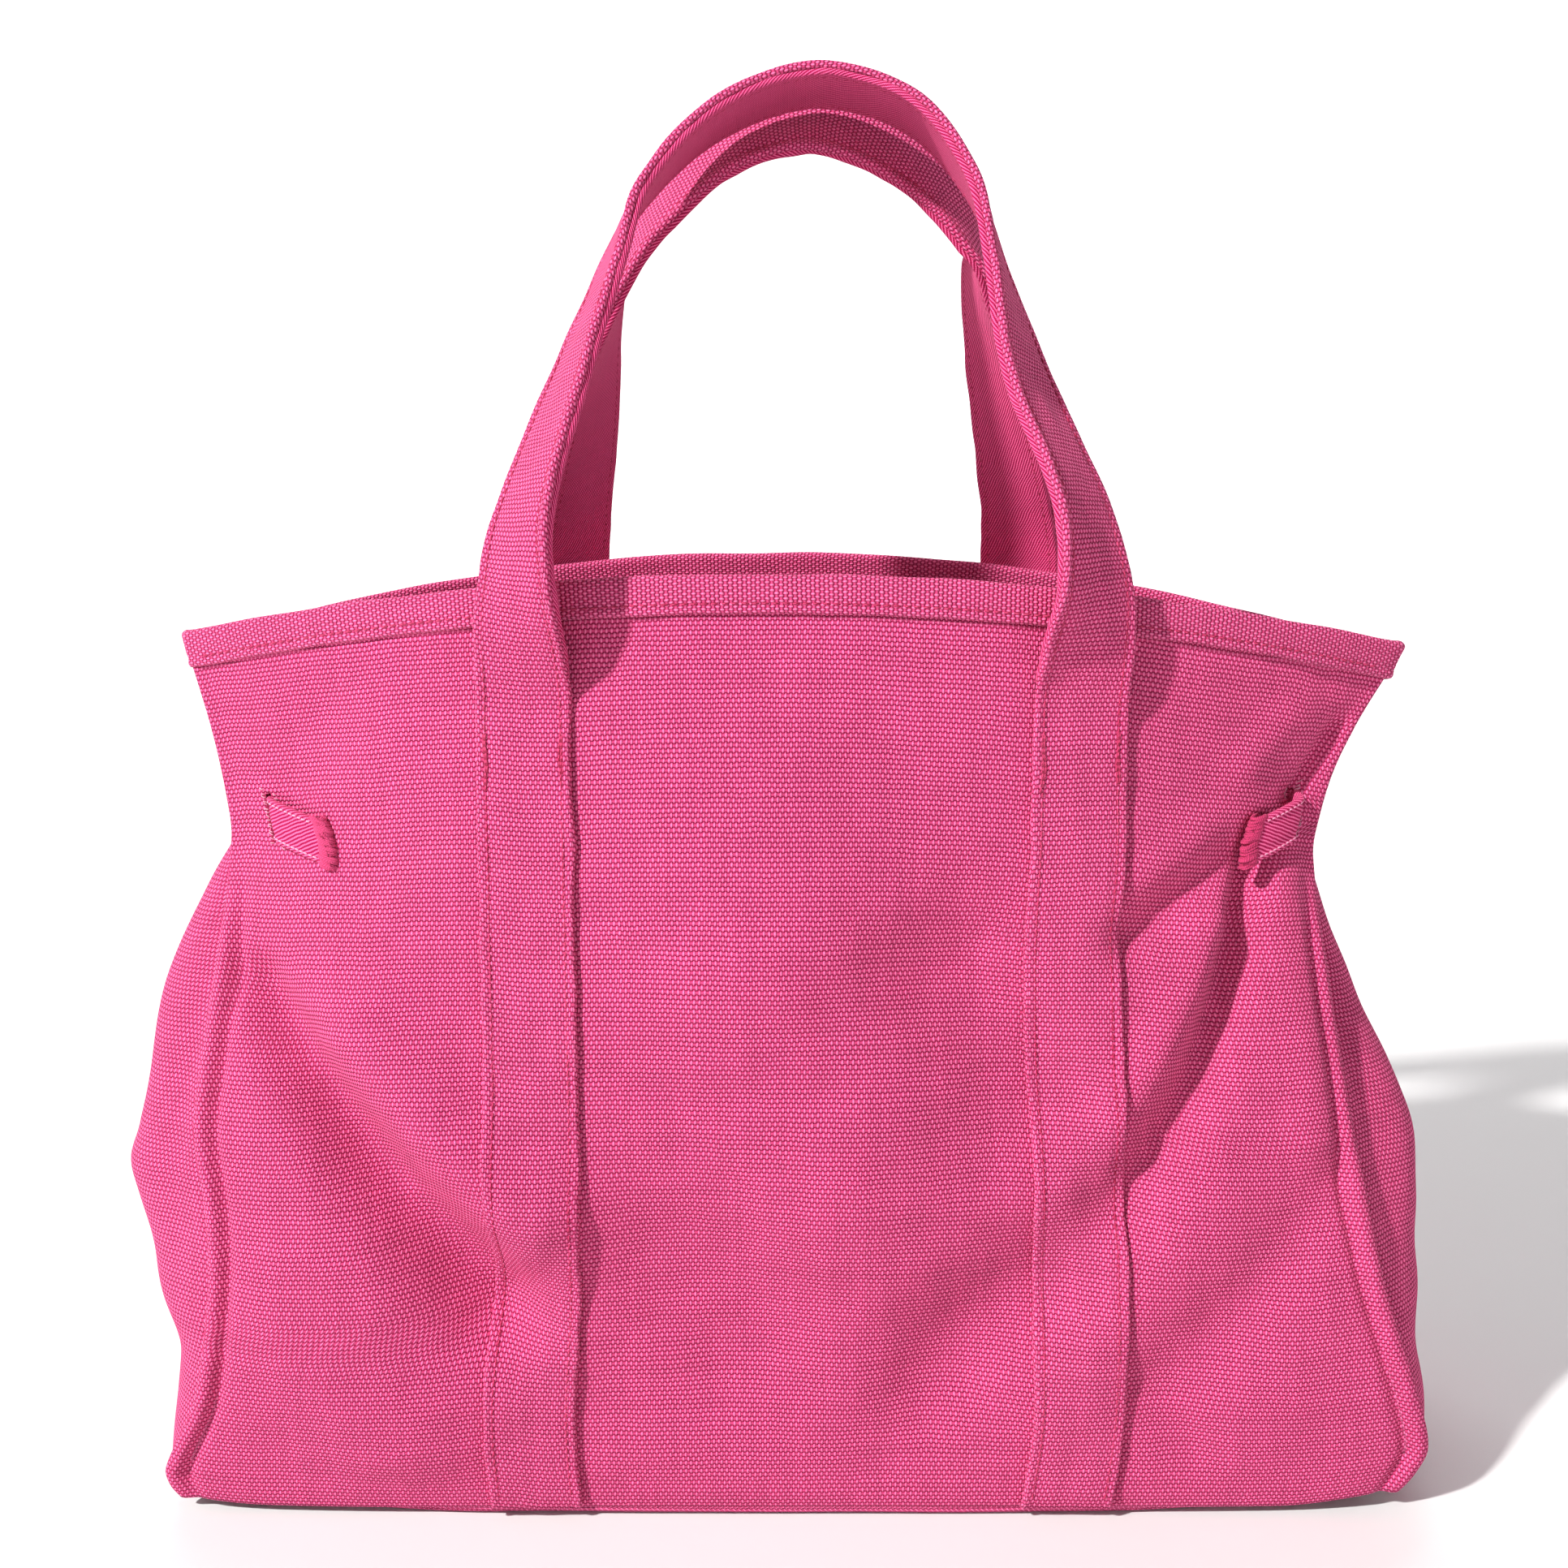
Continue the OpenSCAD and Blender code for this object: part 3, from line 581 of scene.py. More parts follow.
# Middle line of each sewn leg, by height, and each free handle from right to left: x, y, z, twist from
# the panel in
# degrees, and how far the width leans up.
LEG_X = {
    ("front", 1): [(0, 102), (5, 103), (41, 106.5), (92, 106), (150, 104), (185, 102), (222, 100.5),
                   (270, 101.5), (320, 102), (360, 102.5)],
    ("front", -1): [(0, -98), (5, -98.5), (41, -100), (92, -97), (150, -96), (185, -96), (222, -96.5),
                    (270, -97), (320, -97.8), (360, -98)],
    ("back", 1): [(0, 99), (60, 100.5), (140, 98), (220, 99), (320, 99.5), (360, 99.5)],
    ("back", -1): [(0, -100), (60, -98), (140, -100), (220, -101), (320, -100), (360, -100)],
}
FREE = {
    "front": [
        (102, -73, 306, 0, 0.18), (103, -76, 327, 13, 0.18), (104, -82, 354, 37, 0.2),
        (99, -77, 383, 50, 0.2),
        (83, -57, 425, 56, 0.12), (73, -40, 465, 74, 0.14), (64, -28, 496, 82, 0.16),
        (42, -17, 523, 87, 0.18),
        (8, -13, 533, 90, 0.18), (-28, -17, 521, 93, 0.18), (-56, -29, 493, 99, 0.16),
        (-67, -40, 466, 108, 0.15),
        (-82, -58, 423, 119, 0.15), (-96, -78, 377, 132, 0.2), (-98, -81, 352, 145, 0.19),
        (-98, -76, 327, 166, 0.18),
        (-98, -73, 306, 180, 0.18),
    ],
    "back": [
        (100, -73, 306, 0, 0.8), (99, -76, 327, 12, 0.8), (99, -79, 352, 19, 0.78), (96, -73, 379, 28, 0.76),
        (82, -46, 435, 49, 0.76), (73, -26, 466, 72, 0.86), (70, -19, 482, 98, 1), (56, -15, 504, 120, 1.1),
        (32, -11, 519, 122, 1.18), (4, -9.5, 525, 99, 1.15), (-28, -10.5, 516, 81, 1.1),
        (-54, -15, 494, 76, 0.96),
        (-65, -22, 477, 87, 0.89), (-79, -42, 441, 114, 0.8), (-87, -60, 406, 134, 0.77),
        (-94, -74, 372, 143, 0.77),
        (-98, -77, 342, 150, 0.78), (-100, -75, 324, 170, 0.8), (-100, -73, 306, 180, 0.8),
    ],
}


def free_line(which):
    """Keys of the free handle's middle line from the right leg over the top to the left leg, by length."""
    keys = np.array(FREE[which], float)
    d = np.concatenate([[0], np.cumsum(np.linalg.norm(np.diff(keys[:, :3], axis=0), axis=1))])
    return list(zip(d, keys)), d[-1]


def free_frame(keys, length, d):
    """Place, width direction and outward direction at lengths d along a handle, for the front's side."""
    p = curve(keys, d)
    a, b = curve(keys, np.clip(d - 1, 0, length)), curve(keys, np.clip(d + 1, 0, length))
    tangent = unit((b - a)[:, :3])
    q = np.radians(p[:, 3])
    raw = np.stack([-np.cos(q), -np.sin(q), p[:, 4] * np.sin(q)], -1)
    width = unit(raw - (raw * tangent).sum(-1, keepdims=True) * tangent)
    return p[:, :3], width, np.cross(tangent, width)


class Strap:
    """One long strap: up one leg, over as a handle and down the other. It gives points at a length along
    it, a place
    across it and a height off its middle, where the middle is the face between the outer ply and the lining."""

    def __init__(self, which):
        self.which = which
        self.panel = FRONT if which == "front" else BACK
        self.sign = self.panel.sign
        self.keys, self.free = free_line(which)
        self.leg = SEWN_H - 14 - LEG_FOOT
        self.length = 2 * self.leg + self.free
        y = -BEND_Y * self.sign
        self.bend = ("body", which + "_handle", (0, y, BEND_LOW), (0, y, BEND_HIGH))

    def free_point(self, d, w, h):
        p, width, out = free_frame(self.keys, self.free, np.clip(d - self.leg, 0, self.free))
        q = p + width * w[:, None] + out * h[:, None]
        q[:, 1] *= self.sign
        return q

    def leg_point(self, d, w, h):
        right = d < self.length / 2
        z = np.where(right, LEG_FOOT + d, LEG_FOOT + self.length - d)
        x = np.where(right, curve(LEG_X[self.which, 1], z), curve(LEG_X[self.which, -1], z))
        # w runs from the outer edge to the inner edge on the right leg, and back on the left
        return self.panel.at_xz(x - w * np.where(right, 1, -1), np.minimum(z, 350), h + CANVAS / 2 + 0.15)

    def at(self, d, w, h):
        """Points for flat arrays of equal length."""
        d, w, h = (np.asarray(a, float).ravel() for a in np.broadcast_arrays(d, w, h))
        end = np.minimum(d, self.length - d)
        mix = smooth((end - (self.leg - 4)) / 26)[:, None]
        a = self.leg_point(np.where(end > self.leg + 40, 0, d), w, h)
        b = self.free_point(d, w, h)
        return a * (1 - mix) + b * mix


STRAPS = {"front": Strap("front"), "back": Strap("back")}


def strap_mesh(name, strap, start, end, low, material, nodes, seed, width=STRAP_W):
    """One ply of a strap, from length start to end, standing low to low + PLY off the middle."""
    steps = int((end - start) / (2.2))
    d = np.linspace(start, end, steps)
    prof = strap_profile(PLY, width)
    dd = np.repeat(d[:, None], len(prof), 1)
    edge = smooth((np.abs(prof[:, 0]) - (width / 2 - 5)) / 5)
    side = np.sign(prof[:, 0])[None]
    wob = 0.28 * waves(dd, side * 40, 26, seed) + 0.12 * waves(dd, side * 40, 8, seed + 1)
    w = prof[:, 0][None] + edge * side * wob
    h = prof[:, 1][None] + PLY / 2 + low + 0.18 * waves(dd, w * 2, 30, seed + 2) * (prof[:, 1][None] > 0)
    rings = strap.at(dd, w, h).reshape(steps, len(prof), 3)
    obj = ring_mesh(name, rings, [list(range(len(prof)))], material, None, nodes, zero=11)
    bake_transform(obj)


for which, strap in STRAPS.items():
    strap_mesh(which + "_strap_outer_ply", strap, 0, strap.length, 0.0, strap_canvas,
               [which + "_left_strap", which + "_right_strap", which + "_handle_outer"], 81 + 7 * strap.sign)
    start = strap.leg + 13
    strap_mesh(which + "_handle_lining_ply", strap, start, strap.length - start, -PLY - 0.05, lining,
               [which + "_handle_lining"], 97 + 7 * strap.sign, STRAP_W - 0.8)


# ---- rows of stitches --------------------------------------------------------------------------------
def stitch_template():
    rings = []
    for x, r in ((-1.0, 0.0), (-0.93, 0.55), (-0.7, 0.9), (0, 1.0), (0.7, 0.9), (0.93, 0.55), (1.0, 0.0)):
        rings.append([(x, r * math.cos(q), r * math.sin(q)) for q in np.radians(np.arange(0, 360, 60))])
    return np.array(rings)


TEMPLATE = stitch_template()


def stitches(name, rows, body, nodes, blend=None, size=0.42, long=2.7, pitch=3.6, seed=3, material=thread):
    """Small separate stitches along rows. A row is (points, normals), in millimetres, at any even spacing."""
    r = np.random.default_rng(seed)
    verts, faces, uvs = [], [], []
    n, m = TEMPLATE.shape[:2]
    quads = [(i * m + j, i * m + (j + 1) % m, (i + 1) * m + (j + 1) % m, (i + 1) * m + j)
             for i in range(n - 1) for j in range(m)]
    face_uv = np.array([(i * 0.6, j * 0.5) for i in range(n - 1) for j in range(m) for _ in range(4)])
    for points, normals in rows:
        d = np.concatenate([[0], np.cumsum(np.linalg.norm(np.diff(points, axis=0), axis=1))])
        places = np.arange(pitch / 2, d[-1] - long / 2, pitch)
        for s in places + r.uniform(-0.15, 0.15, len(places)):
            half = long / 2 * r.uniform(0.9, 1.08)
            a, b, c = (np.array([np.interp(q, d, points[:, k]) for k in range(3)])
                       for q in (s - half, s, s + half))
            nn = unit(np.array([np.interp(s, d, normals[:, k]) for k in range(3)]))
            t = unit(c - a + 0.12 * r.uniform(-1, 1) * np.cross(nn, c - a))
            side = unit(np.cross(nn, t))
            nn = np.cross(t, side)
            x, y, z = TEMPLATE[..., :1], TEMPLATE[..., 1:2], TEMPLATE[..., 2:]
            arch = (1 - x**2) * 0.22
            q = b + x * half * t + y * size * side + (z * size * 0.8 + arch) * nn
            k = len(verts) * n * m
            verts.append(q.reshape(-1, 3))
            faces += [[k + i for i in f] for f in quads]
            uvs.append(face_uv)
    obj = finish_mesh(name, np.concatenate(verts), faces, np.concatenate(uvs), material, None, nodes,
                      recalc=False)
    if blend:
        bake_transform(obj)
    else:
        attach(obj, body)


def strap_row(strap, start, end, w, face):
    d = np.arange(start, end, 2.0)
    h = PLY + 0.02 if face > 0 else -PLY - 0.05
    p = strap.at(d, w, h - (0.30 if face > 0 else -0.30))
    q = strap.at(d, w, h + 1.0 * face)
    return p, unit(q - p)


for which, strap in STRAPS.items():
    rows = [strap_row(strap, 4, strap.length - 4, e * (STRAP_W / 2 - STITCH_IN), 1) for e in (-1, 1)]
    stitches(which + "_strap_topstitching", rows, None, [which + "_strap_stitching"], strap.bend,
             seed=5 + strap.sign)
    start = strap.leg + 20
    rows = [strap_row(strap, start, strap.length - start, e * (STRAP_W / 2 - STITCH_IN), -1) for e in (-1, 1)]
    stitches(which + "_lining_topstitching", rows, None, [which + "_handle_stitching"], strap.bend,
             seed=9 + strap.sign)
    rows = []
    r = np.random.default_rng(17 + strap.sign)
    for d0 in (strap.leg - 6.0, strap.length - strap.leg + 6.0):
        up = 1 if d0 < strap.length / 2 else -1
        for e in (-1, 1):
            for k in range(3):
                w0 = e * (STRAP_W / 2 - STITCH_IN) + r.uniform(-0.5, 0.5)
                d = d0 - up * np.linspace(0, r.uniform(15, 22), 12)
                w = w0 + 0.35 * np.sin(np.linspace(0, r.uniform(4, 9), 12) + r.uniform(0, 6))
                p, q = strap.at(d, w, PLY - 0.1), strap.at(d, w, PLY + 1.0)
                rows.append((p, unit(q - p)))
    stitches(which + "_bar_tack_threads", rows, "body", [which + "_bar_tacks"], size=0.46, long=2.6,
             pitch=2.3, seed=21)


# ---- rim bindings ------------------------------------------------------------------------------------
BAND_H = 12.5
BAND_IN = CANVAS / 2 + 0.25
BAND_OUT = BAND_IN + 1.45


def mouth_path():
    """Top points, and points 12 mm below them, all round the mouth: front left to right, right side,
    back, left side."""
    top, low, marks = [], [], []

    def add(p, q):
        top.extend(p)
        low.extend(q)
        marks.append(len(top))

    drop = 0.035
    u = np.linspace(-0.985, 0.985, 90)
    g = np.linspace(-0.80, 0.80, 26)
    one = np.ones(len(u))
    add(FRONT.at(u, one), FRONT.at(u, one - drop))
    add(side_grid(1, g, np.ones(len(g))), side_grid(1, g, np.ones(len(g)) - drop))
    add(BACK.at(-u, one), BACK.at(-u, one - drop))
    add(side_grid(-1, -g, np.ones(len(g))), side_grid(-1, -g, np.ones(len(g)) - drop))
    return np.array(top), np.array(low), marks


def round_corners(top, low, marks):
    """Puts the turned corner of the binding, an ear, between each two runs of the path."""
    out_top, out_low, corners = [], [], []
    begin = 0
    for end in marks:
        for src, dst in ((top, out_top), (low, out_low)):
            dst.extend(src[begin:end])
            p0, p1 = src[end - 1], src[end % len(top)]
            side = np.array([np.sign(p0[0] + p1[0]), 0, 0])
            for t in np.linspace(0, 1, 13)[1:-1]:
                dst.append(p0 + (p1 - p0) * t + side * EAR * math.sin(t * math.pi) ** 0.7)
        corners.append(len(out_top) - 6)
        begin = end
    return np.array(out_top), np.array(out_low), corners


def resample(p, q, spacing):
    """Both lines at an even spacing along p, which is closed, with the kinks eased."""
    for _ in range(3):
        p = (np.roll(p, 1, 0) + 2 * p + np.roll(p, -1, 0)) / 4
        q = (np.roll(q, 1, 0) + 2 * q + np.roll(q, -1, 0)) / 4
    d = np.concatenate([[0], np.cumsum(np.linalg.norm(np.diff(np.vstack([p, p[:1]]), axis=0), axis=1))])
    s = np.linspace(0, d[-1], int(d[-1] / spacing), endpoint=False)
    closed = (np.vstack([a, a[:1]]) for a in (p, q))
    return [np.stack([np.interp(s, d, a[:, k]) for k in range(3)], -1) for a in closed] + [s]


def band_profile():
    """The outline of a binding folded over the edge: (outward, up)."""
    a, out = BAND_IN, BAND_OUT
    pts = [(a, -BAND_H), (a + 0.5, -BAND_H - 0.35), (out - 0.1, -BAND_H + 0.1), (out + 0.25, -BAND_H + 1.0),
           (out + 0.2, -BAND_H + 2.0),
           (out, -BAND_H + 2.8), (out - 0.22, -BAND_H + 3.4), (out, -BAND_H + 4.2), (out + 0.08, -BAND_H + 6)]
    pts += [(out, -3.5), (out, -1.5)]
    pts += [(out * math.cos(q), out * 0.8 * math.sin(q) - 0.4)
            for q in np.radians([15, 40, 65, 90, 115, 140, 165])]
    pts += [(-x, z) for x, z in pts[10::-1]]
    pts += [(-a + 0.02, -BAND_H + 2), (-a + 0.02, -1.0), (0, -0.6), (a - 0.02, -1.0), (a - 0.02, -BAND_H + 2)]
    return np.array(pts)


path_top, path_low, corners = round_corners(*mouth_path())
rtop, rlow, rs = resample(path_top, path_low, 1.6)
tan = unit(np.roll(rtop, -1, 0) - np.roll(rtop, 1, 0))
rise = unit(rtop - rlow)
rout = unit(np.cross(tan, rise))
rise = unit(np.cross(rout, tan))
cut = [int(np.argmin(np.linalg.norm(rtop - path_top[m], axis=1))) for m in corners]


def band(name, node, i0, i1, seed):
    """The stretch of the binding between two places on the path."""
    count = len(rtop)
    idx = np.arange(i0, i1 + 1 if i1 > i0 else i1 + count + 1) % count
    prof = band_profile()
    wob = 0.22 * waves(rs[idx], rs[idx] * 0, 24, seed)[:, None, None]
    lift = 0.25 * waves(rs[idx], rs[idx] * 0, 50, seed + 1)[:, None]
    o, b = rout[idx][:, None], rise[idx][:, None]
    low = np.clip(-prof[:, 1] / BAND_H, 0, 1)[None, :, None]
    across, up = prof[None, :, :1], prof[None, :, 1:]
    rings = rtop[idx][:, None] + o * across + b * up
    rings = rings + o * np.sign(across) * np.abs(wob) * low + b * wob * low * 0.8
    rings = rings + b * lift[:, :, None] * (1 - low)
    ring_mesh(name, rings, [list(range(len(prof)))], band_canvas, "body", [node])
    inner = idx[6:-6]
    p = rtop[inner] + rout[inner] * (BAND_OUT - 0.05) + rise[inner] * (-BAND_H + 3.4)
    return p, rout[inner]


rim_rows = [band("front_rim_band", "front_rim_binding", cut[3], cut[0], 201),
            band("right_rim_band", "right_rim_binding", cut[0], cut[1], 211),
            band("back_rim_band", "back_rim_binding", cut[1], cut[2], 221),
            band("left_rim_band", "left_rim_binding", cut[2], cut[3], 231)]
inside_rows = [(p - n * (2 * BAND_OUT - 0.1), -n) for p, n in rim_rows]
stitches("rim_topstitching", rim_rows + inside_rows, "body", ["rim_stitching"], seed=33)


# ---- slits, cinch straps and tabs --------------------------------------------------------------------
SLIT_Z, CINCH_W, CINCH_T = 263.7, 18.0, 2.1
SLANT, SKEW = math.radians(18), math.radians(14)


class Slit:
    """The place of one slit and its directions: along the tab, up the slit and out of the panel."""

    def __init__(self, name, panel, side, x):
        self.name, self.panel, self.side = name, panel, side
        self.u, self.v = (float(q) for q in panel.share(x, SLIT_Z))
        p, n = panel.frame(self.u, self.v)
        self.place = panel.at(self.u, self.v)
        self.out = n
        across = unit(np.array([-side, 0, 0]) - n * (n @ np.array([-side, 0, 0])))
        up = np.cross(n, across) if side * panel.sign < 0 else -np.cross(n, across)
        up = up if up[2] > 0 else -up
        self.along = across * math.cos(SLANT) - up * math.sin(SLANT)
        self.up = up * math.cos(SKEW) - across * math.sin(SKEW)
        self.inward = across * math.cos(SKEW) + up * math.sin(SKEW)

    def at(self, along, up, out):
        """A place by its distances from the slit."""
        q = np.array([along, up, out], float)
        return self.place + self.along * q[0] + self.up * q[1] + self.out * q[2]


SLITS = [Slit("front_right", FRONT, 1, 189.5), Slit("front_left", FRONT, -1, -197.5),
         Slit("back_right", BACK, 1, 193.0), Slit("back_left", BACK, -1, -193.0)]


def cut_slit(panel_obj, slit):
    """Cuts the slit through a panel."""
    mesh = bpy.data.meshes.new("cutter")
    bm = bmesh.new()
    bmesh.ops.create_cube(bm, size=1.0)
    bm.to_mesh(mesh)
    bm.free()
    cutter = bpy.data.objects.new("cutter", mesh)
    m = np.eye(4)
    for k, (axis, size) in enumerate(((slit.inward, 3.8), (slit.up, CINCH_W + 1.0), (slit.out, 14))):
        m[:3, k] = axis * size * MM
    m[:3, 3] = slit.at(-1.2, 0, 0) * MM
    cutter.matrix_world = Matrix(m.tolist())
    bpy.context.scene.collection.objects.link(cutter)
    mod = panel_obj.modifiers.new("slit", "BOOLEAN")
    mod.operation, mod.solver, mod.object = "DIFFERENCE", "EXACT", cutter
    bpy.context.view_layer.update()
    done = bpy.data.meshes.new_from_object(panel_obj.evaluated_get(bpy.context.evaluated_depsgraph_get()))
    panel_obj.modifiers.clear()
    panel_obj.data = done
    bpy.data.objects.remove(cutter)


for slit in SLITS:
    cut_slit(front_panel if slit.panel is FRONT else back_panel, slit)


def tubes(name, paths, radii, material, body, nodes):
    """Yarns along paths of points, in one piece, each closed at both ends and a little thinner there."""
    sides = 6
    verts, faces, uvs = [], [], []
    count = 0
    for path, radius in zip(paths, radii):
        path = np.asarray(path, float)
        n = len(path)
        t = unit(np.gradient(path, axis=0))
        ref = np.array([0.3, 0.5, 0.81])
        ref = ref if abs(t[0] @ ref) < 0.9 else np.array([1.0, 0, 0])
        a = unit(np.cross(t, ref))
        b = np.cross(t, a)
        q = np.radians(np.arange(0, 360, 360 / sides))
        r = radius * np.where((np.arange(n) == 0) | (np.arange(n) == n - 1), 0.45, 1.0)
        ring = path[:, None] + r[:, None, None] * (np.cos(q)[None, :, None] * a[:, None]
                                                   + np.sin(q)[None, :, None] * b[:, None])
        verts.append(ring.reshape(-1, 3))
        for i in range(n - 1):
            for j in range(sides):
                k = (j + 1) % sides
                faces.append([count + i * sides + j, count + i * sides + k, count + (i + 1) * sides + k,
                              count + (i + 1) * sides + j])
                uvs += [(i, j * 0.4), (i, j * 0.4 + 0.4), (i + 1, j * 0.4 + 0.4), (i + 1, j * 0.4)]
        for row, order in ((0, -1), (n - 1, 1)):
            faces.append([count + row * sides + j for j in range(sides)][::order])
            uvs += [(row, j * 0.4) for j in range(sides)]
        count += n * sides
    finish_mesh(name, np.concatenate(verts), faces, np.array(uvs, float), material, body, nodes)


TAB_LINE = [(0, (-0.2, -6.0)), (1, (-0.1, -2.0)), (2, (0.5, 1.3)), (3, (2.6, 2.9)), (4, (6, 3.4)),
            (5, (11, 3.5)), (6, (16, 3.3)), (7, (20.5, 2.7)), (8, (24, 2.1))]
TAB_END = 24.6


def tab_strap(slit, longer, raised):
    """The end of a cinch strap, out through the slit and doubled back along the panel, with its stitching."""
    steps = 40
    line = curve(TAB_LINE, np.linspace(0, 8, steps))
    line[:, 0] += longer * smooth((np.arange(steps) - 12) / 24)
    line[:, 1] += raised * smooth((np.arange(steps) - 8) / 10)
    tangent = unit(np.gradient(line, axis=0))
    prof = strap_profile(CINCH_T, CINCH_W, thin=True)
    prof[:, 1] -= 0.16 * np.exp(-((np.abs(prof[:, 0]) - 6.8) / 0.7) ** 2) * (prof[:, 1] > 0)
    rings = []
    for k in range(steps):
        n = np.array([-tangent[k][1], tangent[k][0]])
        full = 0.82 + 0.18 * smooth(k / 10) - 0.03 * smooth((k - 30) / 9)
        bow = 0.5 * (1 - (prof[:, 0] / 9) ** 2) * smooth((k - 6) / 8)
        rings.append([slit.at(line[k][0] + n[0] * (h + b), w * full, line[k][1] + n[1] * (h + b))
                      for (w, h), b in zip(prof, bow)])
    root = slit.at(0, 0, 1.0)
    span = ("body", slit.name + "_tab", tuple(root * MM), tuple((root + slit.inward * 6.5) * MM))
    obj = ring_mesh(slit.name + "_tab_strap", np.array(rings), [list(range(len(prof)))], tab_twill, None,
                    [slit.name + "_tab"],
                    zero=7)
    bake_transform(obj)
    off = CINCH_T / 2 + 0.25
    k = np.arange(11, steps - 3)
    rows = []
    for e in (-1, 1):
        w = e * (CINCH_W / 2 - 2.2)
        pts = np.array([slit.at(line[i][0] - tangent[i][1] * off, w, line[i][1] + tangent[i][0] * off)
                        for i in k])
        rows.append((pts, np.repeat(slit.out[None], len(k), 0)))
    stitches(slit.name + "_tab_stitching", rows, None, [], span, size=0.34, long=1.7, pitch=2.2, seed=61,
             material=pale_thread)


def frayed_end(slit, longer, height, r):
    """The overcast, fraying end of a tab: yarn loops over the cut edge, then loose fibres."""
    paths, radii = [], []
    for k in range(74):
        w = -9.2 + 18.4 * (k + r.uniform(0.2, 0.8)) / 74
        end = TAB_END + longer - 0.021 * w * w
        lift = height + r.uniform(-0.2, 0.5)
        a0, sway = end - r.uniform(1.4, 3.0), r.uniform(-1.1, 1.1)
        far = end + r.uniform(2.8, 5.4)
        loop = [(a0, w, lift + 0.9), (end + 0.4, w + sway * 0.4, lift + 1.6),
                (far - 0.6, w + sway * 0.8, lift + 0.9),
                (far, w + sway, lift - 0.7), (far - 1.0, w + sway * 1.1, lift - 1.9),
                (end - 0.6, w + sway * 1.2, max(lift - 2.4, 0.75))]
        paths.append([slit.at(*q) for q in curve(list(enumerate(loop)), np.linspace(0, 5, 11))])
        radii.append(r.uniform(0.42, 0.68))
    for k in range(60):
        w = r.uniform(-9, 9)
        end = TAB_END + 1.9 + longer - 0.02 * w * w
        d = r.uniform(-1, 1, 3) * (1.4, 1.6, 1.0) + (1.2, 0, 0.6)
        q0 = np.array([end + r.uniform(-2, 1.5), w, 3.4 + r.uniform(-1, 0.6)])
        mid = q0 + d * 0.6 + r.uniform(-0.4, 0.4, 3)
        pts = curve([(0, q0), (1, mid), (2, q0 + d * r.uniform(1.0, 1.8))], np.linspace(0, 2, 6))
        pts[:, 2] = np.maximum(pts[:, 2], 0.8)
        paths.append([slit.at(*q) for q in pts])
        radii.append(r.uniform(0.12, 0.2))
    tubes(slit.name + "_tab_frayed_end", paths, radii, frayed, slit.name + "_tab",
          [slit.name + "_tab_overcast"])


def slit_stitches(slit, r):
    """Short stitches along both sides of a slit, as (path, radius)."""
    found = []
    for e in (-1, 1):
        for k in range(15):
            w = -10.2 + 20.4 * k / 14 + r.uniform(-0.4, 0.4)
            x = e * r.uniform(2.0, 2.3) - 1.2
            q0 = np.array([x, w, 0.7])
            q1 = np.array([x + e * r.uniform(1.6, 2.6), w + r.uniform(-0.7, 0.7), 0.85])
            mid = (q0 + q1) / 2 + (0, 0, 0.45)
            pts = []
            for q in curve([(0, q0), (1, mid), (2, q1)], np.linspace(0, 2, 6)):
                flat = slit.at(q[0], q[1], 0)
                pts.append(slit.panel.at_xz(flat[0], flat[2], q[2]))
            found.append((pts, r.uniform(0.2, 0.32)))
    return found


EDGINGS = {"front": [], "back": []}
for slit in SLITS:
    r = np.random.default_rng(sum(map(ord, slit.name)))
    longer, raised, fray_height = (3.0, 0.0, 2.4) if slit.side < 0 else (1.0, 1.8, 3.6)
    tab_strap(slit, longer, raised)
    frayed_end(slit, longer, fray_height, r)
    EDGINGS["front" if slit.panel is FRONT else "back"] += slit_stitches(slit, r)
for side in ("front", "back"):
    tubes(side + "_slit_edge_stitches", [q for q, _ in EDGINGS[side]], [q for _, q in EDGINGS[side]],
          pale_thread, "body", ["slit_edgings"])

for side, (f, b) in {"right": (SLITS[0], SLITS[2]), "left": (SLITS[1], SLITS[3])}.items():
    prof = strap_profile(2.0, 17.0, thin=True)
    rings = []
    for t in np.linspace(0, 1, 40):
        p0, p1 = f.at(-0.2, 0, -6.3), b.at(-0.2, 0, -6.3)
        c = p0 + (p1 - p0) * t + np.array([0, 0, -1.2 * math.sin(math.pi * t)])
        up = unit(f.up * (1 - t) + b.up * t)
        fwd = unit(p1 - p0)
        nrm = unit(np.cross(up, fwd))
        rings.append([c + up * w * 0.86 + nrm * h for w, h in prof])
    ring_mesh(side + "_cinch_strap_inside", np.array(rings), [list(range(len(prof)))], tab_twill, "body",
              [side + "_cinch_strap"], zero=7)


# ---- bound seam allowances inside --------------------------------------------------------------------
TAPE_W, TAPE_T = 8.0, 2.3


def tape_profile():
    length, h = TAPE_W, TAPE_T / 2
    pts = [(0, -h), (length * 0.35, -h * 1.05), (length * 0.7, -h * 1.1)]
    pts += [(length - h + h * math.sin(q), -h * math.cos(q))
            for q in np.radians([10, 40, 70, 90, 110, 140, 170])]
    pts += [(length * 0.7, h * 1.1), (length * 0.35, h * 1.05), (0, h)]
    return np.array(pts)


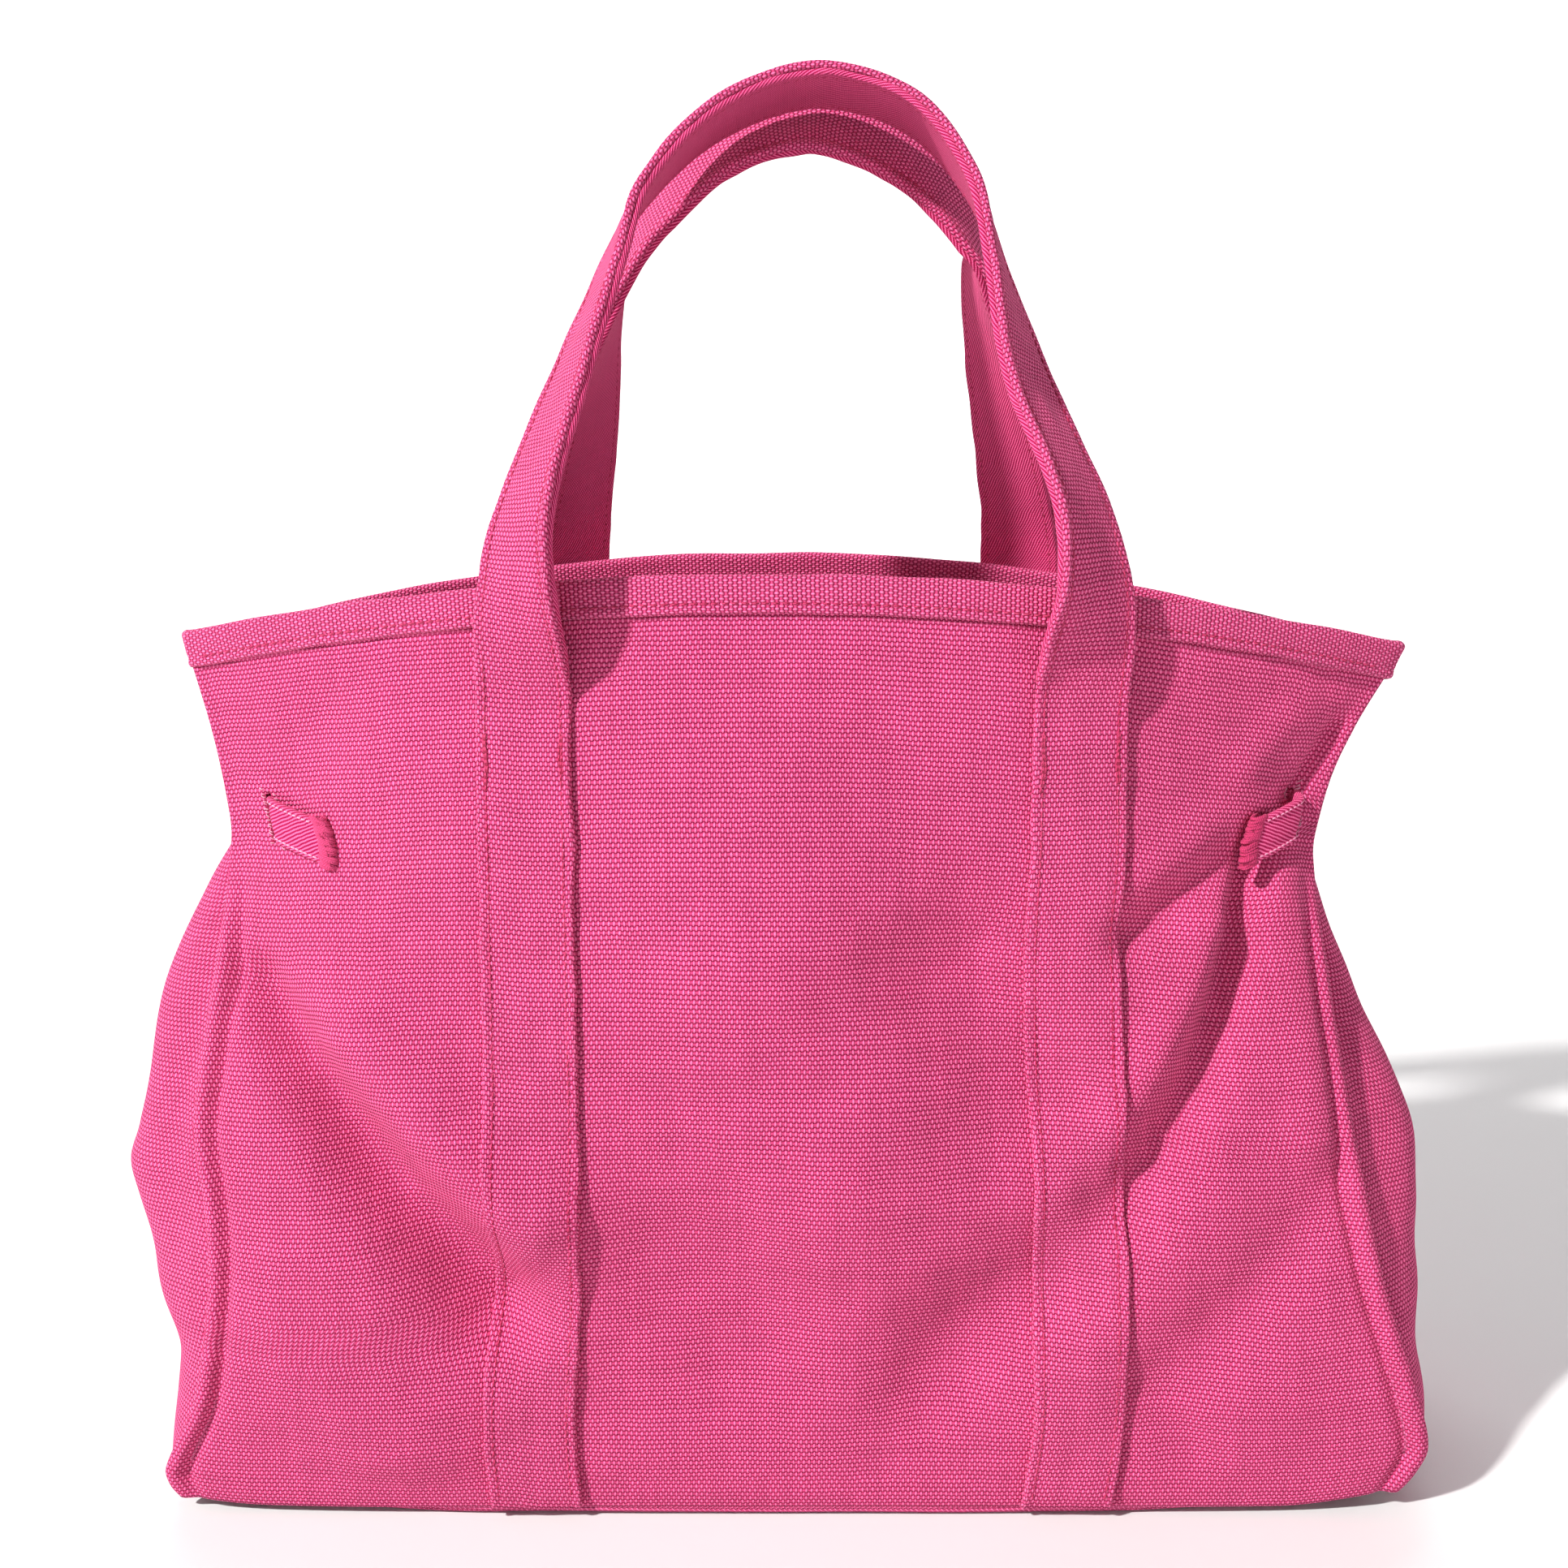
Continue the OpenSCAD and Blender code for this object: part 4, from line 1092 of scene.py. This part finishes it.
for panel, side in ((FRONT, "front"), (BACK, "back")):
    for e, hand in ((1, "right"), (-1, "left")):
        v = 0.05 + 0.87 * np.linspace(0, 1, 70)
        p = panel.at(np.full(70, 0.985 * e), v)
        inward = unit(np.stack([v * 0 - 0.8 * e, (0.6 + 0.5 * v) * panel.sign, v * 0], -1))
        flank = np.cross(np.array([0, 0, 1.0]), inward)
        wob = 0.5 * waves(v * 300, v * 0, 60, 301)[:, None, None] + 0 * inward[:, None]
        prof = tape_profile()
        across, up = prof[None, :, :1], prof[None, :, 1:]
        rings = p[:, None] + (3.4 + across) * inward[:, None]
        rings = rings + (up + wob[..., :1] * across / TAPE_W) * flank[:, None]
        ring_mesh(side + "_" + hand + "_seam_tape", rings, [list(range(len(prof)))], band_canvas, "body",
                  [side + "_" + hand + "_seam_binding"])

for node, along, sx, sy in (("front", 0, 0, -1), ("back", 0, 0, 1), ("right", 1, 1, 0), ("left", 1, -1, 0)):
    lo, hi = (np.array(q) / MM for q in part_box(node + "_base_seam_binding"))
    c = (lo + hi) / 2
    half = (hi - lo)[along] / 2
    t = np.linspace(-half, half, 90)
    prof = tape_profile()
    lean = math.radians(20)
    out = np.array([sx, sy, 0.0])
    rise = np.array([0, 0, math.cos(lean)]) + out * math.sin(lean)
    flank = np.array([0, 0, -math.sin(lean)]) + out * math.cos(lean)
    line = np.array([1.0, 0, 0]) if along == 0 else np.array([0, 1.0, 0])
    wob = 0.3 * waves(t, t * 0, 50, 307)[:, None, None]
    across, up = prof[None, :, :1], prof[None, :, 1:]
    rings = c + t[:, None, None] * line + (across - TAPE_W / 2) * rise
    rings = rings + (up + wob * across / TAPE_W) * flank
    ring_mesh(node + "_base_seam_tape", rings, [list(range(len(prof)))], band_canvas, "body",
              [node + "_base_seam_binding"])


# ---- floor and lights --------------------------------------------------------------------------------
def plain_material(name, colour, rough):
    k = Nodes(name)
    bsdf = k.add("ShaderNodeBsdfPrincipled")
    bsdf.inputs["Base Color"].default_value = (*colour, 1)
    bsdf.inputs["Roughness"].default_value = rough
    out = k.add("ShaderNodeOutputMaterial")
    k.tree.links.new(bsdf.outputs[0], out.inputs[0])
    return k.mat


def floor():
    """A pale floor that curves up into a pale wall far behind."""
    n, m = 72, 40
    verts, faces = [], []
    for i in range(m):
        t = i / (m - 1)
        if t < 0.4:
            r, z = 7.0 * t / 0.4, 0.0
        elif t < 0.75:
            q = (t - 0.4) / 0.35 * math.pi / 2
            r, z = 7.0 + 2.5 * math.sin(q), 2.5 * (1 - math.cos(q))
        else:
            r, z = 9.5, 2.5 + 6 * (t - 0.75) / 0.25
        for j in range(n):
            a = 2 * math.pi * j / n
            verts.append((r * math.cos(a), r * math.sin(a), z))
    for i in range(m - 1):
        for j in range(n):
            k = (j + 1) % n
            faces.append((i * n + j, (i + 1) * n + j, (i + 1) * n + k, i * n + k))
    mesh = bpy.data.meshes.new("floor")
    mesh.from_pydata(verts, [], faces)
    mesh.polygons.foreach_set("use_smooth", [True] * len(mesh.polygons))
    obj = bpy.data.objects.new("floor", mesh)
    mesh.materials.append(plain_material("pale_floor", (0.76, 0.76, 0.765), 0.7))
    obj.location.z = -0.0002
    bpy.context.scene.collection.objects.link(obj)


floor()


def lamp(name, place, target, size, power, colour=(1, 1, 1)):
    data = bpy.data.lights.new(name, "AREA")
    data.shape, data.size, data.energy, data.color = "DISK", size, power, colour
    obj = bpy.data.objects.new(name, data)
    obj.location = place
    obj.rotation_euler = (Vector(target) - Vector(place)).to_track_quat("-Z", "Y").to_euler()
    bpy.context.scene.collection.objects.link(obj)


MIDDLE = (0, 0, 0.22)
lamp("key", (-5.05, -4.05, 5.45), MIDDLE, 0.46, 1070, (1.0, 0.985, 0.96))
lamp("fill", (3.1, -1.5, 1.2), MIDDLE, 2.6, 1.7, (1.0, 0.85, 0.90))
lamp("backdrop", (0, 4.5, 6.0), (0, 8.0, 0.3), 6.0, 520, (1.0, 1.0, 1.0))
world = bpy.data.worlds.new("studio")
bpy.context.scene.world = world
world.use_nodes = True
world.node_tree.nodes["Background"].inputs[0].default_value = (1.0, 0.80, 0.87, 1)
world.node_tree.nodes["Background"].inputs[1].default_value = 0.042
bpy.context.scene.view_settings.view_transform = "Standard"
